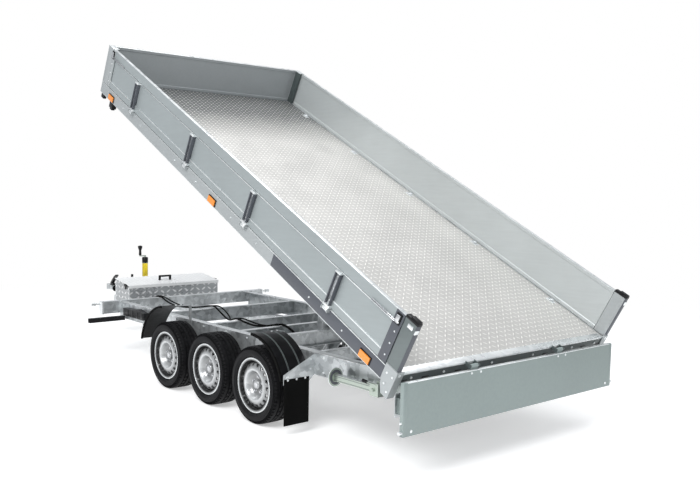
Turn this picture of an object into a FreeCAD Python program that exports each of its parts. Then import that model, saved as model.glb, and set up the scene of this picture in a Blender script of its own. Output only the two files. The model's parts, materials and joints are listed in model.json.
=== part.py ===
import FreeCAD, Part
import os
import re
import Sketcher

# Tipper trailer with three axles, its bed raised and its tailgate hanging open.
# Chassis pieces are drawn with x = 0 at the rear axle, +X to the coupling, +Y to the left, z = 0 on the ground.
# Bed pieces are drawn flat: x from the bed's rear end, z from the underside of its side frame.
# Each sub-part's Placement then carries it to the trailer's frame, whose origin is the coupling ball's centre.

doc = FreeCAD.newDocument("tipper_trailer")
sheet = doc.addObject("Spreadsheet::Sheet", "Sizes")

SIZES = dict(
    # coupling ball from the rear axle and from the ground, and its socket
    ball_x=4280, ball_up=430, socket_radius=25.3, socket_depth=34, head_radius=38,
    # wheels: tyre, rim, hub and brake drum
    axle_gap=600, tyre_radius=262.5, tyre_width=195, track_half=870, bead_radius=168, bead_half=75,
    rim_lip=185, rim_half=82, rim_wall=6, vent_count=18, vent_ring=140.5, vent_radius=11.5, spindle_radius=20, hub_radius=45,
    # chassis rails, cross-members, front beam
    rail_y=720, rail_width=60, rail_top=520, rail_height=145, rail_wall=6, rail_rear=1080, rail_front=2500,
    member_width=50, member_height=110, member_wall=5,
    beam_depth=60, beam_half=880, beam_height=110, beam_top=527, beam_wall=5,
    # axle tubes and swing arms
    axle_tube=70, arm_trail=140, swing_thick=30, swing_y=728, swing_height=60,
    # drawbar arms and overrun housing
    arm_width=60, arm_height=90, arm_wall=5, arm_root_x=1500, arm_root_y=640, arm_tip_x=3950, arm_tip_y=75,
    housing_radius=32, housing_rear=3560, housing_front=4020, saddle_half=100,
    # bed frame and tipping hinge
    tilt=27.5, bed_length=4060, bed_half=1005, bed_low=625, hinge_x=1000, hinge_drop=50, overhang=332,
    frame_height=150, frame_low=60, frame_width=50, frame_wall=4, floor_thick=4, floor_inset=35, board_top=468,
    board_thick=25, post_length=93, post_top=475, swing_gap=5, sill_drop=85,
    beam_foot=34, bed_beam_low=84, bed_member_height=59, ear_thick=8, ear_reach=40, pin_radius=12,
    pin_fit=0.05, side_gap=2,
    # side boards and their hinges
    board_pin_out=14, board_pin_drop=8, board_pin_radius=6, eye_radius=12, strap_half=22, strap_depth=22, strap_top=390,
    strap_first=640, strap_second=1600,
    # tailgate
    gate_back=32, gate_up=150, gate_height=290, gate_thick=25, gate_half=995, gate_hinge_y=415, gate_lift=20,
    # lifting ram
    ram_x=450, ram_base=310, ram_eye_v=50, ram_radius=60, ram_wall=5, ram_fit=0.05, ram_count=4,
    ram_lug=25, ram_eye=22, ram_foot=20, ram_stage_low=40, ram_stage_high=300, cradle_y=72,
    # parking legs
    leg_x=1030, leg_up=425, leg_y=800, leg_width=40, leg_wall=4, leg_length=365, pad_radius=57, pad_thick=8,
    # jockey wheel
    jockey_x=3862, jockey_y=232, jockey_radius=30, jockey_wall=4, jockey_wheel=100, jockey_half=25,
    jockey_trail=40, jockey_top=790, jockey_travel=80, crown_up=212, crown_thick=20, clamp_half=38,
    # toolbox
    box_rear=2760, box_depth=300, box_half=500, box_base=375, box_rear_top=625, box_rise=45, box_wall=3,
    lid_thick=3, lid_lip=25, lid_pin_out=12, lid_pin_drop=6, lid_pin_radius=3, knuckle_radius=6, knuckle_y=330,
    knuckle_long=90,
    # mudguards, flaps and brackets
    guard_radius=355, guard_rise=32, guard_thick=4, guard_inner=745, guard_outer=975, guard_lip=14, flap_low=70,
    flap_top=400, flap_thick=5, plate_thick=4,
    seat_gap=0.3,
)

# Lengths that follow from the driving sizes, as expressions of them.
WORKED = dict(
    hinge_up="bed_low - hinge_drop",
    floor_up="frame_height + floor_thick",
    board_pin_y="bed_half + board_pin_out",
    board_pin_up="frame_height - board_pin_drop",
    ram_eye_u="ram_x + hinge_x + overhang",
    eye_x="-hinge_x + (ram_x + hinge_x) * cos(tilt) - (ram_eye_v + hinge_drop) * sin(tilt)",
    eye_up="hinge_up + (ram_x + hinge_x) * sin(tilt) + (ram_eye_v + hinge_drop) * cos(tilt)",
    ram_closed="bed_low + ram_eye_v - ram_base",
    ram_open="sqrt((ram_x - eye_x) * (ram_x - eye_x) + (eye_up - ram_base) * (eye_up - ram_base))",
    ram_lean="atan((ram_x - eye_x) / (eye_up - ram_base))",
    ram_step="(ram_open - ram_closed) / ram_count",
    guard_top="tyre_radius + guard_radius",
    guard_span="guard_outer - guard_inner - 30",
    flap_x="guard_radius",
    lid_over="8 * box_rise / box_depth",
    lid_pin_x="box_rear + box_depth + lid_pin_out",
    lid_pin_up="box_rear_top + box_rise - lid_pin_drop",
    jockey_low="crown_up + crown_thick + jockey_travel + 6",
    arm_edge="arm_tip_y + arm_width / 2 + (arm_tip_x - jockey_x + clamp_half) * (arm_root_y - arm_tip_y)"
             " / (arm_tip_x - arm_root_x)",
)

for row, (word, value) in enumerate(SIZES.items(), start=1):
    sheet.set("A%d" % row, word)
    sheet.set("B%d" % row, str(value))
    sheet.setAlias("B%d" % row, word)
doc.recompute()

nodes = []


def bound(text):
    """An expression of the words above, as FreeCAD reads it."""
    def spelled(match):
        word = match.group(0)
        return "(%s)" % bound(WORKED[word]) if word in WORKED else "Sizes." + word
    return re.sub(r"\b[a-z][a-z_0-9]*\b(?!\()", spelled, str(text))


def number(text):
    """The value of such an expression now."""
    value = sheet.evalExpression(bound(text))
    return float(getattr(value, "Value", value))


def bind(thing, **values):
    for key, text in values.items():
        thing.setExpression(key.replace("__", "."), bound(text))


def put(thing, at):
    bind(thing, Placement__Base__x=at[0], Placement__Base__y=at[1], Placement__Base__z=at[2])
    return thing


def block(name, at, size):
    """A box with its low corner at a place."""
    made = doc.addObject("Part::Box", name)
    bind(made, Length=size[0], Width=size[1], Height=size[2])
    return put(made, at)


TURNS = {"x": ((0, 1, 0), 90), "y": ((1, 0, 0), -90), "z": ((0, 0, 1), 0)}


def bar(name, at, axis, radius, length):
    """A round bar that starts at a place and runs along an axis."""
    made = doc.addObject("Part::Cylinder", name)
    about, angle = TURNS[axis]
    made.Placement = FreeCAD.Placement(FreeCAD.Vector(), FreeCAD.Rotation(FreeCAD.Vector(*about), angle))
    bind(made, Radius=radius, Height=length)
    return put(made, at)


def outline(body, plane, name, corners):
    """A closed sketch of straight sides on one of the body's own planes."""
    sketch = body.newObject("Sketcher::SketchObject", name)
    face = [item for item in body.Origin.OriginFeatures if item.Role == plane][0]
    sketch.AttachmentSupport = (face, [""])
    sketch.MapMode = "FlatFace"
    places = [[number(text) for text in corner] for corner in corners]
    count = len(corners)
    for index in range(count):
        start = FreeCAD.Vector(*places[index], 0)
        end = FreeCAD.Vector(*places[(index + 1) % count], 0)
        sketch.addGeometry(Part.LineSegment(start, end), False)
    for index in range(count):
        sketch.addConstraint(Sketcher.Constraint("Coincident", index, 2, (index + 1) % count, 1))
    for index, corner in enumerate(corners):
        for kind, text, value in zip(("DistanceX", "DistanceY"), corner, places[index]):
            which = sketch.addConstraint(Sketcher.Constraint(kind, -1, 1, index, 1, value))
            sketch.setExpression("Constraints[%d]" % which, bound(text))
    return sketch


def prism(name, plane, corners, length, at=("0", "0", "0")):
    """A padded outline: XZ outlines run to -Y, XY outlines to +Z and YZ outlines to +X."""
    body = doc.addObject("PartDesign::Body", name)
    pad = body.newObject("PartDesign::Pad", name + "_pad")
    pad.Profile = outline(body, plane + "_Plane", name + "_outline", corners)
    bind(pad, Length=length)
    return put(body, at)


def turned(name, corners):
    """An outline of (place along Y, radius) corners, turned about Y."""
    body = doc.addObject("PartDesign::Body", name)
    ring = body.newObject("PartDesign::Revolution", name + "_turn")
    ring.Profile = outline(body, "YZ_Plane", name + "_outline", corners)
    ring.ReferenceAxis = (ring.Profile[0], ["H_Axis"])
    ring.Angle = 360
    return body


def fuse(name, pieces):
    made = doc.addObject("Part::MultiFuse", name)
    made.Shapes = pieces
    made.Refine = True
    return made


def cut(name, base, tool):
    made = doc.addObject("Part::Cut", name)
    made.Base = base
    made.Tool = tool
    return made


def group(name, pieces):
    made = doc.addObject("Part::Compound", name)
    made.Links = pieces
    return made


def flipped(name, piece):
    """The same piece on the other side of the middle plane."""
    made = doc.addObject("Part::Mirroring", name)
    made.Source = piece
    made.Normal = FreeCAD.Vector(0, 1, 0)
    return made


def both(name, piece):
    return group(name, [piece, flipped(name + "_other", piece)])


def tube(name, at, size, wall, along):
    """A rectangular tube, open at its two ends along an axis."""
    index = "xyz".index(along)
    inner_at = [a if i == index else "%s + %s" % (a, wall) for i, a in enumerate(at)]
    inner_size = [s if i == index else "%s - 2 * %s" % (s, wall) for i, s in enumerate(size)]
    return cut(name, block(name + "_outside", at, size), block(name + "_inside", inner_at, inner_size))


def keep(piece, label):
    piece.Label = label
    nodes.append(piece)
    return piece


def on_chassis(piece, label):
    return keep(put(piece, ("-ball_x", "0", "-ball_up")), label)


def turn_back(piece, degrees):
    """Turn a piece about its own origin, from +X towards +Z."""
    piece.Placement = FreeCAD.Placement(FreeCAD.Vector(), FreeCAD.Rotation(FreeCAD.Vector(0, -1, 0), 10))
    bind(piece, Placement__Rotation__Angle=degrees)
    return piece


def on_bed(piece, label):
    """Carry a flat bed piece to the raised position about the tipping hinge."""
    put(turn_back(piece, "tilt"), (
        "-ball_x - hinge_x - overhang * cos(tilt) - hinge_drop * sin(tilt)", "0",
        "-ball_up + hinge_up - overhang * sin(tilt) + hinge_drop * cos(tilt)"))
    return keep(piece, label)


def on_gate(piece, label):
    """Carry a closed tailgate piece, drawn from its hinge axis, to where it hangs open."""
    put(turn_back(piece, "180"), (
        "-ball_x - hinge_x - (overhang + gate_back) * cos(tilt) - (gate_up + hinge_drop) * sin(tilt)", "0",
        "-ball_up + hinge_up - (overhang + gate_back) * sin(tilt) + (gate_up + hinge_drop) * cos(tilt)"))
    return keep(piece, label)


def on_ram(piece, label, steps):
    """Carry a ram piece, drawn closed and upright from its base pin, to its lean and its stroke."""
    put(turn_back(piece, "ram_lean"), (
        "-ball_x + ram_x - %d * ram_step * sin(ram_lean)" % steps, "0",
        "-ball_up + ram_base + %d * ram_step * cos(ram_lean)" % steps))
    return keep(piece, label)


def mirrored_as(name, left, label):
    """Keep the mirror image of a left-hand sub-part as the right-hand one."""
    return keep(flipped(name, left), label)


# ---------------------------------------------------------------- chassis
def chassis_rail():
    long = "rail_rear + rail_front"
    pieces = [
        block("rail_web", ("-rail_rear", "rail_y - rail_wall", "rail_top - rail_height"),
              (long, "rail_wall", "rail_height")),
        block("rail_top_flange", ("-rail_rear", "rail_y - rail_width", "rail_top - rail_wall"),
              (long, "rail_width", "rail_wall")),
        block("rail_low_flange", ("-rail_rear", "rail_y - rail_width", "rail_top - rail_height"),
              (long, "rail_width", "rail_wall")),
        bar("hinge_pin", ("-hinge_x", "rail_y - rail_width + ear_thick / 2", "hinge_up"), "y",
            "pin_radius", "rail_width - ear_thick"),
    ]
    for index, end in enumerate(("rail_y", "rail_y - rail_width + ear_thick")):
        pieces.append(prism("hinge_ear_%d" % index, "XZ", (
            ("-hinge_x - ear_reach", "rail_top - ear_thick / 2"),
            ("-hinge_x + ear_reach", "rail_top - ear_thick / 2"),
            ("-hinge_x + ear_reach / 2", "hinge_up + ear_reach / 2"),
            ("-hinge_x - ear_reach / 2", "hinge_up + ear_reach / 2")), "ear_thick", ("0", end, "0")))
    return fuse("rail", pieces)


MEMBER_PLACES = {"rear": "-1060", "hind": "-760", "back": "-360", "ram_rear": "265", "ram_front": "585",
                 "middle": "975", "front": "1690"}


def cross_member(name, place):
    """A channel between the rails, open towards the rear."""
    inside = "rail_y - rail_wall"
    top = "rail_top - rail_wall"
    outside = block("member_%s" % name, (place, "-(%s)" % inside, top + " - member_height"),
                    ("member_width", "2 * (%s)" % inside, "member_height"))
    hollow = block("member_%s_hollow" % name,
                   (place + " - member_wall", "-(%s)" % inside, top + " - member_height + member_wall"),
                   ("member_width", "2 * (%s)" % inside, "member_height - 2 * member_wall"))
    return cut("cross_member_" + name, outside, hollow)


def drawbar_arm(name, grow, low, height):
    """A straight arm from under the rail to the overrun housing; grow widens or narrows its outline."""
    half = "(arm_width / 2 + %s)" % grow
    return prism(name, "XY", (
        ("arm_root_x", "arm_root_y - " + half), ("arm_tip_x", "arm_tip_y - " + half),
        ("arm_tip_x", "arm_tip_y + " + half), ("arm_root_x", "arm_root_y + " + half)), height, ("0", "0", low))


def chassis():
    rail = on_chassis(chassis_rail(), "rail_left")
    mirrored_as("rail_other", rail, "rail_right")
    on_chassis(group("members", [cross_member(name, place) for name, place in MEMBER_PLACES.items()]),
               "cross_members")
    beam = tube("beam", ("rail_front", "-beam_half", "beam_top - beam_height"),
                ("beam_depth", "2 * beam_half", "beam_height"), "beam_wall", "y")
    on_chassis(group("beam_piece", [beam]), "front_beam")
    arm = cut("arm", drawbar_arm("arm_outside", "0", "rail_top - rail_height - arm_height", "arm_height"),
              drawbar_arm("arm_inside", "-arm_wall", "rail_top - rail_height - arm_height + arm_wall",
                          "arm_height - 2 * arm_wall"))
    on_chassis(both("arms", arm), "drawbar_arms")


def axles():
    pieces = []
    for index in range(3):
        centre = "%d * axle_gap" % index
        low = "rail_top - rail_height - axle_tube"
        tube_x = centre + " + arm_trail"
        pieces.append(block("axle_tube_%d" % index, (tube_x + " - axle_tube / 2", "-swing_y", low),
                            ("axle_tube", "2 * swing_y", "axle_tube")))
        for side, end in (("left", "swing_y + swing_thick"), ("right", "-swing_y")):
            middle = "rail_top - rail_height - axle_tube / 2"
            pieces.append(prism("swing_%s_%d" % (side, index), "XZ", (
                (centre + " - swing_height / 2", "tyre_radius - swing_height / 2"),
                (centre + " + swing_height / 2", "tyre_radius - swing_height / 2"),
                (tube_x + " + axle_tube / 2", middle + " - axle_tube / 2"),
                (tube_x + " + axle_tube / 2", middle + " + axle_tube / 2"),
                (tube_x + " - axle_tube / 2", middle + " + axle_tube / 2"),
                (centre + " - swing_height / 2", "tyre_radius + swing_height / 2")),
                "swing_thick", ("0", end, "0")))
        for side, start in (("left", "swing_y"), ("right", "-track_half - rim_half / 2")):
            pieces.append(bar("spindle_%s_%d" % (side, index), (centre, start, "tyre_radius"), "y",
                              "spindle_radius", "track_half + rim_half / 2 - swing_y"))
        for side, start in (("left", "swing_y + swing_thick"), ("right", "-swing_y - swing_thick - 14")):
            pieces.append(bar("brake_plate_%s_%d" % (side, index), (centre, start, "tyre_radius"), "y",
                              "bead_radius - 60", "14"))
    on_chassis(fuse("axle_set", pieces), "axles")


def coupling():
    housing = [
        block("saddle", ("arm_tip_x - 330", "-saddle_half", "rail_top - rail_height"),
              ("330", "2 * saddle_half", "10")),
        block("saddle_rib", ("arm_tip_x - 310", "-12", "rail_top - rail_height"), ("300", "24", "ball_up - rail_top + rail_height")),
        bar("housing_tube", ("housing_rear", "0", "ball_up"), "x", "housing_radius", "housing_front - housing_rear"),
        bar("housing_collar", ("housing_front - 40", "0", "ball_up"), "x", "housing_radius + 10", "40"),
    ]
    on_chassis(fuse("housing", housing), "coupling_housing")
    bellows_end = "ball_x - 130"
    boot = bar("boot", ("housing_front", "0", "ball_up"), "x", "housing_radius - 2",
               bellows_end + " - housing_front")
    on_chassis(group("boot_piece", [boot]), "coupling_bellows")
    neck = bar("neck", (bellows_end, "0", "ball_up"), "x", "housing_radius - 6", "110")
    cup = bar("cup", ("ball_x", "0", "ball_up - socket_depth + 14"), "z", "head_radius", "socket_depth + 24")
    bridge = block("bridge", (bellows_end + " + 20", "-housing_radius", "ball_up - 14"),
                   ("130 - 20", "2 * housing_radius", "46"))
    ball = doc.addObject("Part::Sphere", "socket_ball")
    bind(ball, Radius="socket_radius")
    put(ball, ("ball_x", "0", "ball_up"))
    mouth = bar("mouth", ("ball_x", "0", "ball_up - head_radius * 2"), "z", "socket_radius", "head_radius * 2")
    head = cut("head_socket", fuse("head_solid", [neck, cup, bridge]), fuse("socket_space", [ball, mouth]))
    on_chassis(group("head_piece", [head]), "coupling_head")
    handle = prism("handle", "XZ", (
        ("ball_x - 100", "ball_up + 32"), ("ball_x - head_radius - 6", "ball_up + 32"),
        ("ball_x - head_radius - 6", "ball_up + 60"),
        ("ball_x - 125", "ball_up + 130"), ("ball_x - 180", "ball_up + 160"), ("ball_x - 190", "ball_up + 146"),
        ("ball_x - 140", "ball_up + 114"), ("ball_x - 80", "ball_up + 56"), ("ball_x - 120", "ball_up + 46")),
        "34", ("0", "17", "0"))
    on_chassis(group("handle_piece", [handle]), "coupling_handle")


def jockey():
    here = ("jockey_x", "-jockey_y")
    clamp = block("clamp_block", ("jockey_x - clamp_half", "-jockey_y - clamp_half", "rail_top - rail_height + 5"),
                  ("2 * clamp_half", "jockey_y + clamp_half - arm_edge - seat_gap", "60"))
    pad = block("clamp_plate", ("jockey_x - clamp_half", "-arm_edge - seat_gap - 8", "rail_top - rail_height - 75"),
                ("2 * clamp_half", "8", "85"))
    hole = bar("clamp_hole", (*here, "0"), "z", "jockey_radius", "rail_top")
    on_chassis(group("clamp_piece", [cut("clamp", fuse("clamp_solid", [clamp, pad]), hole)]), "jockey_clamp")
    outer = bar("jockey_out", (*here, "jockey_low"), "z", "jockey_radius", "jockey_top - jockey_low")
    bore = bar("jockey_bore", (*here, "jockey_low"), "z", "jockey_radius - jockey_wall",
               "jockey_top - jockey_low - 12")
    stem = bar("crank_stem", (*here, "jockey_top - 6"), "z", "9", "36")
    throw = block("crank_throw", ("jockey_x - 8", "-jockey_y - 8", "jockey_top + 18"), ("16", "76", "12"))
    grip = bar("crank_grip", ("jockey_x", "-jockey_y + 60", "jockey_top + 24"), "z", "11", "105")
    on_chassis(fuse("jockey_tube_solid", [cut("jockey_shell", outer, bore), stem, throw, grip]), "jockey_tube")
    slider = bar("slider", (*here, "crown_up + crown_thick"), "z", "jockey_radius - jockey_wall - pin_fit",
                 "jockey_top - crown_up - crown_thick - jockey_travel - 30")
    on_chassis(group("slider_piece", [slider]), "jockey_slide")
    crown = block("crown", ("jockey_x - jockey_trail - 34", "-jockey_y - 36", "crown_up"),
                  ("jockey_trail + 68", "72", "crown_thick - seat_gap"))
    cheeks = [block("cheek_%d" % index, ("jockey_x - jockey_trail - 26", start, "jockey_wheel - 20"),
                    ("52", "5", "crown_up - jockey_wheel + 21")) for index, start in
              enumerate(("-jockey_y - 36", "-jockey_y + 31"))]
    pin = bar("jockey_pin", ("jockey_x - jockey_trail", "-jockey_y - 36", "jockey_wheel"), "y", "8", "72")
    on_chassis(fuse("fork_solid", [crown, *cheeks, pin]), "jockey_fork")
    tread = turned("jockey_roll", (
        ("-jockey_half", "8 + pin_fit"), ("jockey_half", "8 + pin_fit"), ("jockey_half", "jockey_wheel - 12"),
        ("jockey_half - 12", "jockey_wheel"), ("12 - jockey_half", "jockey_wheel"),
        ("-jockey_half", "jockey_wheel - 12")))
    put(tread, ("jockey_x - jockey_trail", "-jockey_y", "jockey_wheel"))
    on_chassis(group("tread_piece", [tread]), "jockey_wheel")


def toolbox():
    wall = "box_wall"
    front = "box_rear + box_depth"
    shell = prism("box_outside", "XZ", (
        ("box_rear", "box_base"), (front, "box_base"), (front, "box_rear_top + box_rise"),
        ("box_rear", "box_rear_top")), "2 * box_half", ("0", "box_half", "0"))
    space = prism("box_inside", "XZ", (
        ("box_rear + " + wall, "box_base + " + wall), (front + " - " + wall, "box_base + " + wall),
        (front + " - " + wall, "box_rear_top + box_rise + 10"), ("box_rear + " + wall, "box_rear_top + 10")),
        "2 * box_half - 2 * " + wall, ("0", "box_half - " + wall, "0"))
    ears = []
    knuckles = []
    for side, sign in (("left", ""), ("right", "-")):
        middle = "%sknuckle_y" % sign
        ears.append(bar("lid_pin_" + side, ("lid_pin_x", middle + " - knuckle_long / 2 - 12", "lid_pin_up"), "y",
                        "lid_pin_radius", "knuckle_long + 24"))
        for index, start in enumerate((" - knuckle_long / 2 - 11", " + knuckle_long / 2 + 1")):
            ears.append(block("lid_ear_%s_%d" % (side, index),
                              (front + " - " + wall, middle + start, "lid_pin_up - lid_pin_radius - 2"),
                              ("lid_pin_out + lid_pin_radius + 2 + " + wall, "10", "2 * lid_pin_radius + 4")))
        knuckles.append(bar("knuckle_" + side, ("lid_pin_x", middle + " - knuckle_long / 2", "lid_pin_up"), "y",
                            "knuckle_radius", "knuckle_long"))
        knuckles.append(block("knuckle_leaf_" + side,
                              ("lid_pin_x - knuckle_radius", middle + " - knuckle_long / 2", "lid_pin_up"),
                              ("knuckle_radius", "knuckle_long", "lid_pin_drop + lid_over + 2")))
    pin_hole = bar("lid_pin_hole", ("lid_pin_x", "-box_half", "lid_pin_up"), "y", "lid_pin_radius + pin_fit",
                   "2 * box_half")
    on_chassis(fuse("box_solid", [cut("box_shell", shell, space), *ears]), "toolbox")
    top = "box_rear_top + seat_gap"
    lid = prism("lid_sheet", "XZ", (
        ("box_rear - 8", top + " - lid_over"), (front + " + 8", top + " + box_rise + lid_over"),
        (front + " + 8", top + " + box_rise + lid_over + lid_thick"),
        ("box_rear - 8", top + " - lid_over + lid_thick")),
        "2 * box_half + 16", ("0", "box_half + 8", "0"))
    lip = block("lid_lip_rear", ("box_rear - 8", "-box_half - 8", "box_rear_top - lid_lip"),
                ("lid_thick", "2 * box_half + 16", "lid_lip + 2"))
    handle = [block("lid_handle_grip", ("box_rear + 120", "-20", "box_rear_top + 56"), ("16", "130", "14"))]
    for index, start in enumerate(("-20", "96")):
        handle.append(block("lid_handle_foot_%d" % index, ("box_rear + 120", start, "box_rear_top + 14"),
                            ("16", "14", "50")))
    on_chassis(cut("lid_cut", fuse("lid_solid", [lid, lip, *handle, *knuckles]), pin_hole), "toolbox_lid")


def mudguards():
    pieces = []
    for name, centre, radius, inner, first, angle in (
            ("front", "2 * axle_gap", "(guard_radius + guard_rise)", "(guard_inner + 30)", 12, 72),
            ("rear", "0", "guard_radius", "guard_inner", 90, 74)):
        rings = []
        for part, deep, start in (("shell", "guard_thick", inner),
                                  ("lip", "guard_lip", "(guard_outer - guard_thick)")):
            made = []
            for layer, reach in (("over", radius), ("under", radius + " - " + deep)):
                sector = doc.addObject("Part::Cylinder", "guard_%s_%s_%s" % (name, part, layer))
                sector.Angle = angle
                turn = FreeCAD.Rotation(FreeCAD.Vector(1, 0, 0), 90)
                turn = FreeCAD.Rotation(FreeCAD.Vector(0, -1, 0), first) * turn
                sector.Placement = FreeCAD.Placement(FreeCAD.Vector(), turn)
                bind(sector, Radius=reach, Height="guard_outer - " + start)
                made.append(put(sector, (centre, "guard_outer", "tyre_radius")))
            rings.append(cut("guard_%s_%s" % (name, part), *made))
        if name == "rear":
            rings.append(block("guard_tab", ("-flap_x", "guard_inner + 60", "flap_top - 55"),
                               ("16", "guard_span - 60", "26")))
        pieces.append(fuse("guard_" + name, rings))
    on_chassis(both("guards", group("guards_left", pieces)), "mudguards")
    plate = prism("flap_plate", "YZ", (
        ("rail_y", "rail_top - rail_height"), ("rail_y + 45", "flap_top - 65"),
        ("guard_outer - 5", "flap_top - 65"), ("guard_outer - 5", "flap_top"), ("rail_y", "rail_top - 10")),
        "plate_thick", ("-flap_x - plate_thick", "0", "0"))
    brackets = [plate]
    for name, start, under in (("front", "2 * axle_gap + 4", "guard_top + guard_rise - guard_thick - 3"),
                               ("rear", "-40", "guard_top - guard_thick - 3")):
        leg = block("guard_leg_" + name, (start, "rail_y", "rail_top - 60"),
                    ("36", "plate_thick", under + " - rail_top + 60"))
        arm = block("guard_arm_" + name, (start, "rail_y", under + " - plate_thick"),
                    ("36", "guard_inner - rail_y + 90", "plate_thick"))
        brackets.append(fuse("guard_bracket_" + name, [leg, arm]))
    on_chassis(both("brackets", group("brackets_left", brackets)), "guard_brackets")
    flap = block("flap", ("-flap_x - plate_thick - flap_thick", "guard_inner + 22", "flap_low"),
                 ("flap_thick", "guard_span", "flap_top - 30 - flap_low"))
    on_chassis(both("flaps", flap), "mud_flaps")


def chassis_fittings():
    plate = block("lock_plate", ("rail_front - 5", "beam_half", "beam_top - beam_height - 4"),
                  ("beam_depth + 10", "18", "beam_height + 8"))
    stem = bar("lock_stem", ("rail_front + beam_depth / 2", "beam_half + 12", "beam_top - 20"), "y", "9", "60")
    knob = bar("lock_knob", ("rail_front + beam_depth / 2", "beam_half + 70", "beam_top - 20"), "y", "17", "42")
    on_chassis(both("locks", fuse("lock", [plate, stem, knob])), "bed_locks")
    outrigger = tube("outrigger", ("rail_front - 100", "rail_y", "rail_top - rail_height - 15"),
                     ("40", "340", "40"), "3", "y")
    on_chassis(both("outriggers", outrigger), "lamp_arms")
    chock = prism("chock", "XZ", (
        ("rail_front - 565", "rail_top - 100"), ("rail_front - 170", "rail_top - 100"),
        ("rail_front - 170", "rail_top - 34"), ("rail_front - 330", "rail_top - 32"),
        ("rail_front - 440", "rail_top - 18"), ("rail_front - 500", "rail_top - 32"),
        ("rail_front - 565", "rail_top - 38")), "52", ("0", "rail_y + 52", "0"))
    on_chassis(both("chocks", chock), "wheel_chocks")
    bar_x = "-rail_rear - 80"
    pieces = [block("lamp_bar", (bar_x, "-rail_y - 60", "280"), ("4", "2 * rail_y + 120", "140"))]
    for index, side in enumerate(("rail_y - rail_wall", "-rail_y")):
        pieces.append(block("lamp_bar_arm_%d" % index, (bar_x, side, "rail_top - rail_height"),
                            ("80", "rail_wall", "80")))
    on_chassis(fuse("lamp_bar_solid", pieces), "rear_lamp_bar")
    lamp = block("lamp", (bar_x + " - 28", "rail_y - 190", "300"), ("28", "235", "95"))
    on_chassis(both("lamps", lamp), "rear_lamps")
    cheek = []
    for index, start in enumerate(("leg_y - leg_width / 2 - 11", "leg_y + leg_width / 2 + 5")):
        cheek.append(block("leg_cheek_%d" % index, ("-leg_x - 40", start, "leg_up - 38"), ("70", "6", "76")))
    back = block("leg_mount_back", ("-leg_x - 40", "rail_y", "leg_up - 38"),
                 ("6", "leg_y + leg_width / 2 + 11 - rail_y", "76"))
    foot = block("leg_mount_foot", ("-leg_x - 40", "rail_y", "leg_up - 38"),
                 ("70", "leg_y - leg_width / 2 - 5 - rail_y", "6"))
    pin = bar("leg_pin", ("-leg_x", "leg_y - leg_width / 2 - 8", "leg_up"), "y", "8", "leg_width + 16")
    on_chassis(both("leg_mount_pair", fuse("leg_mount", [*cheek, back, foot, pin])), "leg_mounts")
    cheeks = []
    for index, start in enumerate(("cradle_y", "-cradle_y - 8")):
        cheeks.append(prism("cradle_cheek_%d" % index, "XZ", (
            ("290", "rail_top - rail_wall - member_height"), ("610", "rail_top - rail_wall - member_height"),
            ("ram_x + 60", "ram_base - 30"), ("ram_x - 60", "ram_base - 30")), "8", ("0", start + " + 8", "0")))
    pin = bar("cradle_pin", ("ram_x", "-cradle_y - 4", "ram_base"), "y", "pin_radius", "2 * cradle_y + 8")
    on_chassis(fuse("cradle", [*cheeks, pin]), "ram_cradle")


# ---------------------------------------------------------------- wheels
def vent_bars():
    """The ring of round bars that cuts the vents through every wheel disc."""
    bars = []
    for index in range(int(number("vent_count"))):
        turn = "((%d + 0.5) * 360 / vent_count)" % index
        bars.append(bar("vent_bar_%d" % index, ("vent_ring * sin%s" % turn, "0", "vent_ring * cos%s" % turn), "y",
                        "vent_radius", "rim_half"))
    return group("vent_bars", bars)


def wheels():
    vents = vent_bars()
    for index, place in enumerate(("rear", "middle", "front")):
        for side, sign in (("left", 1), ("right", -1)):
            name = "%s_%s" % (place, side)
            shoulder = "tyre_width / 2"
            tyre = turned("tyre_" + name, (
                ("-bead_half", "bead_radius + 0.2"), ("bead_half", "bead_radius + 0.2"),
                ("bead_half", "rim_lip + 2"), (shoulder + " - 8", "rim_lip + 14"),
                (shoulder, "rim_lip + 34"), (shoulder + " - 3", "tyre_radius - 24"),
                (shoulder + " - 12", "tyre_radius - 8"), (shoulder + " - 26", "tyre_radius"),
                ("26 - " + shoulder, "tyre_radius"), ("12 - " + shoulder, "tyre_radius - 8"),
                ("3 - " + shoulder, "tyre_radius - 24"), ("-" + shoulder, "rim_lip + 34"),
                ("8 - " + shoulder, "rim_lip + 14"), ("-bead_half", "rim_lip + 2")))
            inside = "bead_radius - rim_wall"
            rim = turned("rim_disc_" + name, (
                ("-rim_half", "rim_lip"), ("-rim_half + rim_wall", "rim_lip"), ("-rim_half + rim_wall", "bead_radius"),
                ("rim_half - rim_wall", "bead_radius"), ("rim_half - rim_wall", "rim_lip"),
                ("rim_half", "rim_lip"), ("rim_half", "bead_radius"), ("rim_half - 10", inside),
                ("40", inside), ("52", "156"), ("64", "146"), ("74", "128"), ("80", "110"), ("80", "101"),
                ("74", "96"), ("50", "84"), ("40", "76"), ("40", "34"), ("60", "30"), ("60", "0"), ("44", "0"),
                ("44", "spindle_radius + pin_fit"), ("-60", "spindle_radius + pin_fit"), ("-60", "hub_radius"),
                ("32", "hub_radius"), ("32", "79"), ("46", "91"), ("69", "103"), ("67", "125"), ("58", "142"),
                ("47", "151"), ("36", "156"), ("28", inside), ("-rim_half", inside)))
            rim = cut("rim_vented_" + name, rim, vents)
            for piece, kind in ((tyre, "tyre_"), (rim, "rim_")):
                turn = FreeCAD.Rotation(FreeCAD.Vector(0, 0, 1), 0 if sign > 0 else 180)
                piece.Placement = FreeCAD.Placement(FreeCAD.Vector(), turn)
                put(piece, ("-ball_x + %d * axle_gap" % index, "%d * track_half" % sign, "tyre_radius - ball_up"))
                keep(piece, kind + name)


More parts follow.
